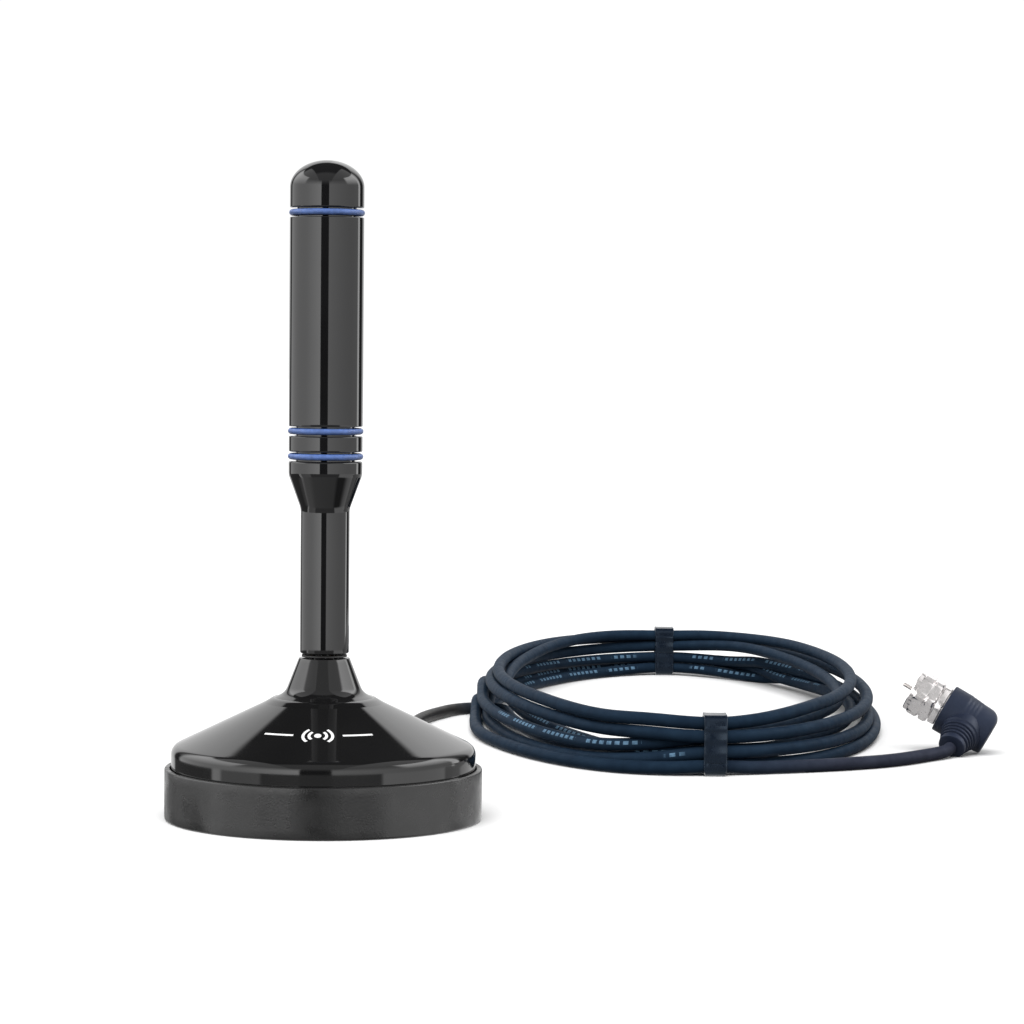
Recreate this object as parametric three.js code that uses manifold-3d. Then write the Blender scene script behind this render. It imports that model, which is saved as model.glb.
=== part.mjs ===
// Desktop whip antenna with a coaxial lead: a weighted magnetic base in a rubber boot,
// a screw-on mast in two diameters with three blue trim rings, and a tied coil of thin
// coax that ends in a right-angle screw-on coaxial plug.
// Millimetres, +Z up. The origin is the middle of the base's underside; -Y is the front.
import * as THREE from 'three';
import { mergeVertices } from 'three/addons/utils/BufferGeometryUtils.js';
import Module from 'manifold-3d';

const wasm = await Module();
wasm.setup();

// ---------------------------------------------------------------- driving dimensions
const GAP = 0.3; // air between pieces that touch

// base
const BOOT_R = 35.3; // rubber boot, outside
const BOOT_IN_R = 34.15;
const BOOT_H = 11.4;
const BOOT_FLOOR = 1.2;
const SHELL_R = 33.85; // base shell's upright skirt
const SHELL_WALL = 2.0;
const SHELL_BOTTOM = 1.6;
const CONE_SLOPE = THREE.MathUtils.degToRad(25.8); // above the horizontal
const CONE_APEX_Z = 32.3;
const SHOULDER_R = 2.5;
const NECK_R = 5.62;
const NECK_TOP = 35.85;
const NECK_FLARE = 0.391; // radius gained per mm going down
const NECK_FILLET = 3.5;
const NECK_BORE = 2.7;
const NECK_SEAT_Z = 27.0; // underside of the neck, where the stud's flange bears

// mast
const STEM_R = 5.44;
const STEM_BOTTOM = 36.85;
const FLARE_Z = [69.2, 76.6];
const HEAD_R = 8.2;
const HEAD_TOP = 79.55;
const TUBE_R = 8.22;
const TUBE_BORE = 6.9;
const TUBE_Z = [87.25, 133.4];
const COLLAR_Z = [81.65, 85.15];
const SPIGOT_R = 6.6;
const SPIGOT_TOP = 95.0;
const RING_MAJOR = 7.67;
const RING_MINOR = 0.7;
const RING_Z = { low: 80.6, mid: 86.2, top: 134.42 };
const CAP_BOTTOM = 135.45;
const CAP_STRAIGHT = 140.0;
const CAP_TOP = 146.0;
const CAP_SPIGOT_BOTTOM = 126.6;

// mast thread: M5, pitch 0.8
const STUD_R = 2.4;
const STUD_TOP = 42.6;
const INSERT_BORE = 2.7;

// cable
const CABLE_D = 3.3;
const GLAND_AZ = THREE.MathUtils.degToRad(80); // from +X towards +Y
const GLAND_Z = 14.6;
const GLAND_TIP = 49.0; // from the axis

// tied coil, a long oval lying on the surface
const COIL_C = [86.7, 205];
const COIL_A = 52.7; // half of the middle line's width along X
const COIL_B = 125; // and along Y
const COIL_HALF = 4.6; // half of the bundle's thickness
const COIL_TOP = 15.0;
const TIE_W = 5.5;
const TIE_T = 0.8;
const TIE_X = { front: 92.0, back: 90.6 };

// plug
const PLUG_AT = [161.04, 128.91, 8.3]; // where the elbow's two axes meet
const PLUG_MOUTH = new THREE.Vector3(-0.8502, 0.2097, 0.4829).normalize();
const PLUG_RELIEF = new THREE.Vector3(-0.4451, -0.7762, -0.4465);
const ELBOW_BACK = -6.6; // along the mouth axis, from PLUG_AT
const ELBOW_FACE = 7.1;
const RELIEF_L = 12.5;

// routes of the uncoiled cable, end to end
const LEAD = [
  [8.56, 48.6, 14.6], [9.5, 54.0, 14.3], [10.6, 62.0, 12.6], [11.6, 72.0, 9.4],
  [12.4, 84.0, 5.9], [13.0, 97.0, 3.0], [13.4, 112.0, 1.85], [13.5, 130.0, 1.7],
  [13.7, 150.0, 1.7], [15.0, 170.0, 1.7], [17.9, 187.0, 1.7], [22.0, 199.0, 1.68],
  [27.0, 208.2, 1.66],
];
const TAIL = [
  [111.0, 84.7, 1.66], [116.0, 86.6, 1.66], [122.0, 89.1, 1.68], [129.0, 92.8, 1.7],
  [137.0, 98.2, 1.7], [143.6, 104.6, 1.72], [148.8, 110.8, 1.72], [152.7, 115.3, 1.85],
  [154.75, 118.0, 2.25], [155.25, 118.82, 2.55],
];

// ---------------------------------------------------------------- helpers
const group = new THREE.Group();

const LOOKS = {
  boot: ['#4c4c4d', 0.55, 0], shell: ['#161616', 0.16, 0], mast: ['#171717', 0.14, 0],
  blue: ['#5f79b4', 0.45, 0], cable: ['#28333f', 0.6, 0], tie: ['#15202b', 0.25, 0],
  moulding: ['#2b2e33', 0.5, 0], nickel: ['#cfcac6', 0.22, 1], steel: ['#9a9a98', 0.35, 1],
  zinc: ['#b4b6b4', 0.4, 1], brass: ['#b8944e', 0.35, 1], copper: ['#b06a3c', 0.35, 1],
  magnet: ['#3a3936', 0.7, 0], board: ['#1f5a38', 0.5, 0], white: ['#e6e4dc', 0.5, 0],
  natural: ['#d9d6cb', 0.5, 0], rubber: ['#1c1c1c', 0.6, 0],
};

function add(name, geometry, look, parent = group) {
  const [color, roughness, metalness] = LOOKS[look];
  geometry.deleteAttribute('uv');
  geometry.computeVertexNormals();
  const mesh = new THREE.Mesh(
    geometry, new THREE.MeshStandardMaterial({ color, roughness, metalness }));
  mesh.name = name;
  parent.add(mesh);
  return mesh;
}

// A closed geometry as a manifold-3d solid, with its faces pointing out.
function solid(geometry) {
  const g = geometry.clone();
  for (const k of Object.keys(g.attributes)) if (k !== 'position') g.deleteAttribute(k);
  const m = mergeVertices(g, 1e-4);
  const p = m.attributes.position.array;
  const index = [];
  let volume = 0;
  const a = new THREE.Vector3(), b = new THREE.Vector3(), c = new THREE.Vector3();
  for (let i = 0; i < m.index.count; i += 3) {
    const t = [m.index.getX(i), m.index.getX(i + 1), m.index.getX(i + 2)];
    if (t[0] === t[1] || t[1] === t[2] || t[0] === t[2]) continue;
    a.fromArray(p, 3 * t[0]); b.fromArray(p, 3 * t[1]); c.fromArray(p, 3 * t[2]);
    volume += a.dot(b.clone().cross(c));
    index.push(...t);
  }
  if (volume < 0) {
    for (let i = 0; i < index.length; i += 3) [index[i], index[i + 1]] = [index[i + 1], index[i]];
  }
  return new wasm.Manifold(new wasm.Mesh({
    numProp: 3, vertProperties: new Float32Array(p), triVerts: new Uint32Array(index),
  }));
}

function geometryOf(body) {
  const mesh = body.getMesh();
  const g = new THREE.BufferGeometry();
  const n = mesh.numProp;
  const count = mesh.vertProperties.length / n;
  const pos = new Float32Array(count * 3);
  for (let i = 0; i < count; i++) for (let k = 0; k < 3; k++) pos[3 * i + k] = mesh.vertProperties[n * i + k];
  g.setAttribute('position', new THREE.BufferAttribute(pos, 3));
  g.setIndex(new THREE.BufferAttribute(new Uint32Array(mesh.triVerts), 1));
  return g;
}

// Profile points [radius, z], turned about Z.
function turned(points, sides = 32) {
  const g = new THREE.LatheGeometry(points.map(([r, z]) => new THREE.Vector2(r, z)), sides);
  g.rotateX(Math.PI / 2);
  return geometryOf(solid(g));
}

function cylinder(r, z0, z1, sides = 16) {
  const g = new THREE.CylinderGeometry(r, r, z1 - z0, sides);
  g.rotateX(Math.PI / 2);
  g.translate(0, 0, (z0 + z1) / 2);
  return g;
}

function box(x0, x1, y0, y1, z0, z1) {
  const g = new THREE.BoxGeometry(x1 - x0, y1 - y0, z1 - z0);
  g.translate((x0 + x1) / 2, (y0 + y1) / 2, (z0 + z1) / 2);
  return g;
}

function arc(cx, cz, r, a0, a1, n) {
  const out = [];
  for (let i = 0; i <= n; i++) {
    const a = THREE.MathUtils.degToRad(a0 + ((a1 - a0) * i) / n);
    out.push([cx + r * Math.cos(a), cz + r * Math.sin(a)]);
  }
  return out;
}

// A hexagonal nut or flange with a round hole, flats 'af' apart.
function hex(af, hole, z0, z1, holeSides = 16) {
  const s = new THREE.Shape();
  const r = af / Math.sqrt(3);
  for (let i = 0; i < 6; i++) s[i ? 'lineTo' : 'moveTo'](r * Math.cos((i * Math.PI) / 3), r * Math.sin((i * Math.PI) / 3));
  s.closePath();
  if (hole) {
    const h = new THREE.Path();
    for (let i = 0; i < holeSides; i++) {
      const a = (-i * 2 * Math.PI) / holeSides;
      h[i ? 'lineTo' : 'moveTo'](hole * Math.cos(a), hole * Math.sin(a));
    }
    h.closePath();
    s.holes.push(h);
  }
  const g = new THREE.ExtrudeGeometry(s, { depth: z1 - z0, bevelEnabled: false, curveSegments: 8 });
  g.translate(0, 0, z0);
  return g;
}

function polygon(r, sides) {
  const s = new THREE.Shape();
  for (let i = 0; i < sides; i++) {
    const a = (2 * Math.PI * (i + 0.5)) / sides;
    s[i ? 'lineTo' : 'moveTo'](r * Math.cos(a), r * Math.sin(a));
  }
  s.closePath();
  return s;
}

function tube(points, r, sides, steps) {
  const curve = new THREE.CatmullRomCurve3(points.map((p) => new THREE.Vector3(...p)), false, 'centripetal');
  return geometryOf(solid(new THREE.ExtrudeGeometry(polygon(r, sides), { steps, extrudePath: curve, bevelEnabled: false })));
}

// ---------------------------------------------------------------- base
{
  // rubber boot: a shallow cup with softened edges
  add('rubber_boot', turned([
    [0, 0], [BOOT_R - 0.5, 0], [BOOT_R - 0.12, 0.15], [BOOT_R, 0.55],
    [BOOT_R, BOOT_H - 0.35], [BOOT_R - 0.3, BOOT_H], [BOOT_IN_R + 0.15, BOOT_H],
    [BOOT_IN_R, BOOT_H - 0.2], [BOOT_IN_R, BOOT_FLOOR], [0, BOOT_FLOOR],
  ], 48), 'boot');

  // base shell: skirt, shoulder, shallow cone and flared neck, hollow and open below
  const t = Math.tan(CONE_SLOPE);
  const coneZ = (r) => CONE_APEX_Z - r * t;
  const corner = coneZ(SHELL_R);
  const tangent = SHOULDER_R * Math.tan((Math.PI / 2 - CONE_SLOPE) / 2);
  const outer = [[SHELL_R, SHELL_BOTTOM], ...arc(SHELL_R - SHOULDER_R, corner - tangent, SHOULDER_R, 0, 90 - THREE.MathUtils.radToDeg(CONE_SLOPE), 5)];
  // hollow corner between cone and neck
  const slope = Math.atan(NECK_FLARE); // of the neck, from the vertical
  const rj = (NECK_R + NECK_FLARE * (NECK_TOP - CONE_APEX_Z)) / (1 - NECK_FLARE * t);
  const zj = coneZ(rj);
  const between = Math.PI / 2 - slope - CONE_SLOPE; // turn from cone to neck
  const back = NECK_FILLET * Math.tan(between / 2);
  const p0 = [rj + back * Math.cos(CONE_SLOPE), zj - back * Math.sin(CONE_SLOPE)];
  const fc = [p0[0] + NECK_FILLET * Math.sin(CONE_SLOPE), p0[1] + NECK_FILLET * Math.cos(CONE_SLOPE)];
  const a0 = 270 - THREE.MathUtils.radToDeg(CONE_SLOPE);
  outer.push(...arc(fc[0], fc[1], NECK_FILLET, a0, a0 - THREE.MathUtils.radToDeg(between), 5));
  outer.push([NECK_R, NECK_TOP - 0.15], [NECK_R - 0.25, NECK_TOP]);
  const innerApex = CONE_APEX_Z - SHELL_WALL / Math.cos(CONE_SLOPE);
  const innerR = SHELL_R - SHELL_WALL;
  const inner = [
    [NECK_BORE, NECK_TOP], [NECK_BORE, NECK_SEAT_Z], [(innerApex - NECK_SEAT_Z) / t, NECK_SEAT_Z],
    [innerR - 0.8, innerApex - (innerR - 0.8) * t], [innerR, innerApex - innerR * t - 0.5], [innerR, SHELL_BOTTOM],
  ];
  let shell = solid(turned([...outer, ...inner, [SHELL_R, SHELL_BOTTOM]], 48));
  for (const deg of [90 + 60, 90 + 180, 90 + 300]) {
    const a = THREE.MathUtils.degToRad(deg);
    const at = [27.6 * Math.cos(a), 27.6 * Math.sin(a)];
    let boss = solid(cylinder(2.9, 9.75, 17.0, 16)).subtract(solid(cylinder(1.45, 9.0, 15.2, 12)));
    boss = boss.translate(at[0], at[1], 0);
    shell = shell.add(boss);
  }
  const hole = cylinder(2.5, 20, 42, 20);
  hole.rotateY(Math.PI / 2);
  hole.rotateZ(GLAND_AZ);
  hole.translate(0, 0, GLAND_Z);
  shell = shell.subtract(solid(hole));
  add('base_shell', geometryOf(shell), 'shell');

  // ring magnet bonded under a steel plate that is screwed up into the shell
  add('magnet_ring', turned([[7, 1.6], [24, 1.6], [24, 7.6], [7, 7.6], [7, 1.6]], 32), 'magnet');
  let plate = solid(turned([[0, 7.9], [31.4, 7.9], [31.4, 9.4], [0, 9.4]], 40));
  for (const [r, deg] of [[27.6, 150], [27.6, 270], [27.6, 30], [27.6, 0]]) {
    const a = THREE.MathUtils.degToRad(deg);
    const cut = cylinder(1.45, 7, 10, 12);
    cut.translate(r * Math.cos(a), r * Math.sin(a), 0);
    plate = plate.subtract(solid(cut));
  }
  add('base_plate', geometryOf(plate), 'steel');
  [150, 270, 30].forEach((deg, i) => {
    const a = THREE.MathUtils.degToRad(deg);
    const screw = turned([[0, 6.0], [1.9, 6.0], [2.3, 6.5], [2.3, 7.55], [1.1, 7.55], [1.1, 14.2], [0, 14.8]], 12);
    screw.translate(27.6 * Math.cos(a), 27.6 * Math.sin(a), 0);
    add(`plate_screw_${i + 1}`, screw, 'zinc');
  });
  // earth tag for the cable's braid, under a screw of its own
  {
    const lug = solid(box(27.6 - 11, 27.6, -1.6, 1.6, 9.7, 10.3))
      .add(solid((() => { const g = cylinder(2.8, 9.7, 10.3, 14); g.translate(27.6, 0, 0); return g; })()))
      .subtract(solid((() => { const g = cylinder(1.45, 9, 11, 12); g.translate(27.6, 0, 0); return g; })()));
    add('earth_lug', geometryOf(lug), 'brass');
    const screw = turned([[0, 5.6], [1.1, 5.9], [1.1, 10.6], [2.2, 10.6], [2.2, 11.8], [1.8, 12.2], [0, 12.2]], 12);
    screw.translate(27.6, 0, 0);
    add('earth_screw', screw, 'zinc');
  }
}

// ---------------------------------------------------------------- threaded stud and feed
{
  const shaft = solid(turned([
    [0, 15.0], [STUD_R - 0.4, 15.0], [STUD_R, 15.4], [STUD_R, STUD_TOP - 0.6], [STUD_R - 0.6, STUD_TOP], [0, STUD_TOP],
  ], 16));
  add('stud', geometryOf(shaft.add(solid(hex(8, 0, 23.0, NECK_SEAT_Z - GAP)))), 'zinc');
  add('matching_board', geometryOf(solid(box(-11, 11, -7, 7, 21.1, 22.7)).subtract(solid(cylinder(2.7, 20, 24, 16)))), 'board');
  const lug = solid(cylinder(4.2, 20.2, 20.8, 16)).add(solid(box(-11, 0, -1.5, 1.5, 20.2, 20.8)))
    .subtract(solid(cylinder(2.7, 19, 22, 16)));
  add('contact_lug', geometryOf(lug), 'brass');
  add('stud_washer', turned([[2.7, 19.2], [4.4, 19.2], [4.4, 19.9], [2.7, 19.9], [2.7, 19.2]], 16), 'zinc');
  add('stud_nut', hex(8, 2.7, 15.8, 18.9), 'zinc');
}

// ---------------------------------------------------------------- mast
add('mast_washer', turned([[2.9, 36.1], [5.04, 36.1], [5.04, 36.55], [2.9, 36.55], [2.9, 36.1]], 24), 'rubber');
add('mast_stem', turned([
  [4.0, STEM_BOTTOM], [STEM_R - 0.45, STEM_BOTTOM], [STEM_R, STEM_BOTTOM + 0.45],
  [STEM_R, FLARE_Z[0] - 0.5], [STEM_R + 0.08, FLARE_Z[0]], [HEAD_R - 0.1, FLARE_Z[1] - 0.25], [HEAD_R, FLARE_Z[1] + 0.2],
  [HEAD_R, HEAD_TOP - 0.6], [HEAD_R - 0.2, HEAD_TOP - 0.15], [HEAD_R - 0.6, HEAD_TOP],
  [SPIGOT_R, HEAD_TOP], [SPIGOT_R, SPIGOT_TOP - 0.5], [SPIGOT_R - 0.5, SPIGOT_TOP], [2.2, SPIGOT_TOP],
  [2.2, 50.6], [4.0, 50.6], [4.0, STEM_BOTTOM],
], 36), 'mast');
add('stem_insert', turned([
  [INSERT_BORE, 37.15], [3.7, 37.15], [3.7, 48.4], [INSERT_BORE, 48.4], [INSERT_BORE, 37.15],
], 20), 'brass');
add('radiator_rod', turned([[0, 48.75], [3.6, 48.75], [3.6, 50.25], [1.6, 50.25], [1.6, 123.0], [1.2, 123.4], [0, 123.4]], 12), 'brass');
add('coil_former', turned([
  [2.0, 95.4], [5.9, 95.4], [5.9, 96.6], [4.0, 96.6], [4.0, 123.6], [5.9, 123.6], [5.9, 124.8], [2.0, 124.8], [2.0, 95.4],
], 20), 'natural');
{
  // helical radiator wound on the former
  class Helix extends THREE.Curve {
    getPoint(t, out = new THREE.Vector3()) {
      const a = t * 6 * 2 * Math.PI;
      return out.set(4.85 * Math.cos(a), 4.85 * Math.sin(a), 98.4 + t * 23.2);
    }
  }
  add('radiator_coil', geometryOf(solid(new THREE.ExtrudeGeometry(polygon(0.45, 6), { steps: 84, extrudePath: new Helix(), bevelEnabled: false }))), 'copper');
}
add('radome_tube', turned([
  [TUBE_BORE, TUBE_Z[0]], [TUBE_R - 0.15, TUBE_Z[0]], [TUBE_R, TUBE_Z[0] + 0.15], [TUBE_R, TUBE_Z[1] - 0.15],
  [TUBE_R - 0.15, TUBE_Z[1]], [TUBE_BORE, TUBE_Z[1]], [TUBE_BORE, TUBE_Z[0]],
], 36), 'mast');
add('collar', turned([
  [6.9, COLLAR_Z[0]], [HEAD_R - 0.3, COLLAR_Z[0]], [HEAD_R, COLLAR_Z[0] + 0.3], [HEAD_R, COLLAR_Z[1] - 0.3],
  [HEAD_R - 0.3, COLLAR_Z[1]], [6.9, COLLAR_Z[1]], [6.9, COLLAR_Z[0]],
], 36), 'mast');
{
  const outer = [];
  for (let i = 0; i <= 8; i++) {
    const a = (i / 8) * (Math.PI / 2);
    outer.push([TUBE_R * Math.cos(a), CAP_STRAIGHT + (CAP_TOP - CAP_STRAIGHT) * Math.sin(a)]);
  }
  outer[8][0] = 0;
  add('top_cap', turned([
    [5.2, CAP_SPIGOT_BOTTOM], [SPIGOT_R - 0.4, CAP_SPIGOT_BOTTOM], [SPIGOT_R, CAP_SPIGOT_BOTTOM + 0.4], [SPIGOT_R, CAP_BOTTOM],
    [TUBE_R - 0.25, CAP_BOTTOM], [TUBE_R, CAP_BOTTOM + 0.25], ...outer, [0, 143.8], [3.2, 143.2], [5.2, 140.5], [5.2, CAP_SPIGOT_BOTTOM],
  ], 36), 'mast');
}
for (const [name, z] of Object.entries(RING_Z)) {
  const g = new THREE.TorusGeometry(RING_MAJOR, RING_MINOR, 10, 32);
  g.translate(0, 0, z);
  add(`trim_ring_${name}`, geometryOf(solid(g)), 'blue');
}

// ---------------------------------------------------------------- cable entry
{
  const entry = new THREE.Group();
  // local +Z runs along the cable, away from the base
  entry.rotation.set(0, Math.PI / 2, 0);
  const turn = new THREE.Group();
  turn.rotation.z = GLAND_AZ;
  turn.position.z = GLAND_Z;
  turn.add(entry);
  group.add(turn);
  add('cable_gland', turned([
    [0, 28.0], [2.2, 28.0], [2.2, 34.35], [3.0, 34.35], [3.0, 36.3], [2.6, 36.9],
    [2.1, GLAND_TIP - 0.2], [1.9, GLAND_TIP], [0, GLAND_TIP],
  ], 20), 'rubber', entry);
  add('lead_in', turned([[0, 12.0], [CABLE_D / 2, 12.0], [CABLE_D / 2, 27.7], [0, 27.7]], 12), 'cable', entry);
}

// ---------------------------------------------------------------- cable, coil and ties
add('cable_lead', tube(LEAD, CABLE_D / 2, 8, 26), 'cable');
add('cable_tail', tube(TAIL, CABLE_D / 2, 8, 12), 'cable');
{
  const oval = (grow, n, reverse) => {
    const pts = [];
    for (let i = 0; i < n; i++) {
      const a = ((reverse ? -i : i) * 2 * Math.PI) / n;
      pts.push([COIL_C[0] + (COIL_A + grow) * Math.cos(a), COIL_C[1] + (COIL_B + grow) * Math.sin(a)]);
    }
    return pts;
  };
  const path = (target, pts) => {
    pts.forEach(([x, y], i) => target[i ? 'lineTo' : 'moveTo'](x, y));
    target.closePath();
    return target;
  };
  const shape = path(new THREE.Shape(), oval(COIL_HALF, 64, false));
  shape.holes.push(path(new THREE.Path(), oval(-COIL_HALF, 64, true)));
  let coil = solid(new THREE.ExtrudeGeometry(shape, { depth: COIL_TOP, bevelEnabled: false }));
  for (const [end, sign] of [['front', -1], ['back', 1]]) {
    const x = TIE_X[end];
    const y = COIL_C[1] + sign * COIL_B * Math.sqrt(1 - ((x - COIL_C[0]) / COIL_A) ** 2);
    const inY = 3.8, z0 = TIE_T, z1 = COIL_TOP - TIE_T + 0.1;
    // the band squeezes the bundle, so the bundle is waisted under it
    const waist = solid(box(x - TIE_W / 2 - GAP, x + TIE_W / 2 + GAP, y - 9, y + 9, -1, COIL_TOP + 1))
      .subtract(solid(box(x - 8, x + 8, y - inY + GAP, y + inY - GAP, z0 + GAP, z1 - GAP)));
    coil = coil.subtract(waist);
    const band = solid(box(x - TIE_W / 2, x + TIE_W / 2, y - inY - TIE_T, y + inY + TIE_T, 0, z1 + TIE_T))
      .subtract(solid(box(x - TIE_W, x + TIE_W, y - inY, y + inY, z0, z1)));
    add(`tie_${end}`, geometryOf(band), 'tie');
  }
  add('cable_coil', geometryOf(coil), 'cable');
}

// ---------------------------------------------------------------- right-angle plug
{
  const plug = new THREE.Group();
  const z = PLUG_MOUTH.clone();
  const x = PLUG_RELIEF.clone().addScaledVector(z, -PLUG_RELIEF.dot(z)).normalize();
  const y = z.clone().cross(x);
  plug.quaternion.setFromRotationMatrix(new THREE.Matrix4().makeBasis(x, y, z));
  plug.position.set(...PLUG_AT);
  group.add(plug);
  // moulded elbow: short round body along the mouth's axis, and a tapered relief at a right angle
  const relief = turned([[0, 3.0], [4.7, 3.0], [4.7, 6.2], [3.0, RELIEF_L], [0, RELIEF_L]], 20);
  relief.rotateY(Math.PI / 2);
  const body = solid(turned([
    [0, ELBOW_BACK], [4.9, ELBOW_BACK], [5.9, ELBOW_BACK + 0.9], [6.1, -2.0], [6.2, 3.8], [6.45, 4.3], [6.45, ELBOW_FACE - 0.3], [6.15, ELBOW_FACE],
    [4.3, ELBOW_FACE], [4.3, 2.6], [0, 2.6],
  ], 28));
  const socket = solid(cylinder(4.3, 2.6, 20, 28));
  add('plug_elbow', geometryOf(body.add(solid(relief)).subtract(socket)), 'moulding', plug);
  const s = ELBOW_FACE;
  add('plug_barrel', turned([
    [2.6, 3.0], [4.0, 3.0], [4.0, s + 0.3], [5.2, s + 0.3], [5.4, s + 0.6], [5.4, s + 1.9], [5.1, s + 2.2], [3.5, s + 2.2],
    [3.5, s + 3.9], [4.4, s + 3.9], [4.4, s + 4.6], [2.6, s + 4.6], [2.6, 3.0],
  ], 24), 'nickel', plug);
  add('plug_insulator', turned([[0.85, 3.0], [2.3, 3.0], [2.3, s + 4.6], [0.85, s + 4.6], [0.85, 3.0]], 16), 'white', plug);
  add('plug_pin', turned([[0, 3.0], [0.5, 3.0], [0.5, s + 12.0], [0.25, s + 12.4], [0, s + 12.4]], 10), 'copper', plug);
  // coupling nut: back wall held behind the barrel's flange, round front lip
  let nut = solid(hex(11, 0, s + 2.5, s + 8.5)).add(solid(cylinder(5.5, s + 2.5, s + 9.4, 28)));
  nut = nut.subtract(solid(cylinder(3.8, s + 2, s + 4, 24))).subtract(solid(cylinder(4.75, s + 3.6, s + 11, 24)));
  add('plug_nut', geometryOf(nut), 'nickel', plug);
}

export default group;
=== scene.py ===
import math

import bmesh
import bpy
import numpy as np
from mathutils import Matrix, Vector


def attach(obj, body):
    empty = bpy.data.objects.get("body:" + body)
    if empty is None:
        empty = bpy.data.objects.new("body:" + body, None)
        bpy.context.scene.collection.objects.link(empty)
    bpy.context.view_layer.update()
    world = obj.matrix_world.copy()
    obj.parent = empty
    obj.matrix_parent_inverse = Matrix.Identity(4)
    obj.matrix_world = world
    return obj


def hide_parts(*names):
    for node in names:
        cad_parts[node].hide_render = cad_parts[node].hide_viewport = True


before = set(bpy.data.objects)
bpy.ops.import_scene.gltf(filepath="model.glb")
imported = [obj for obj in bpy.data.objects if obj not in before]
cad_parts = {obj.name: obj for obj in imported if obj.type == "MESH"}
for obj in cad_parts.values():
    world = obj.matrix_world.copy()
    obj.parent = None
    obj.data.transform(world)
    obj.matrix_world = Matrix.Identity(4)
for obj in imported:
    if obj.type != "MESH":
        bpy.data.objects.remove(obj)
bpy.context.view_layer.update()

MM = 0.001
ROUND = 192

# ------------------------------------------------------------------ dimensions, mm
GLAND_AZ = math.radians(80)
GLAND_Z = 14.6
CABLE_R = 1.65
TIES = {"front": (92.0, 80.63), "back": (90.6, 329.66)}
PLUG_AT = np.array((161.04, 128.91, 8.3))
MOUTH = np.array((-0.8502, 0.2097, 0.4829))
RELIEF = np.array((-0.4451, -0.7762, -0.4465))
FACE = 7.1

LEAD = [
    (8.56, 48.6, 14.6), (9.5, 54.0, 14.3), (10.6, 62.0, 12.6), (11.6, 72.0, 9.4),
    (12.4, 84.0, 5.9), (13.0, 97.0, 3.0), (13.4, 112.0, 1.85), (13.5, 130.0, 1.7),
    (13.7, 150.0, 1.7), (15.0, 170.0, 1.7), (17.9, 187.0, 1.7), (22.0, 199.0, 1.68),
    (27.0, 208.2, 1.66),
]
TAIL = [
    (111.0, 84.7, 1.66), (116.0, 86.6, 1.66), (122.0, 89.1, 1.68), (129.0, 92.8, 1.7),
    (137.0, 98.2, 1.7), (143.6, 104.6, 1.72), (148.8, 110.8, 1.72), (152.7, 115.3, 1.85),
    (154.75, 118.0, 2.25), (155.25, 118.82, 2.55),
]
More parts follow.
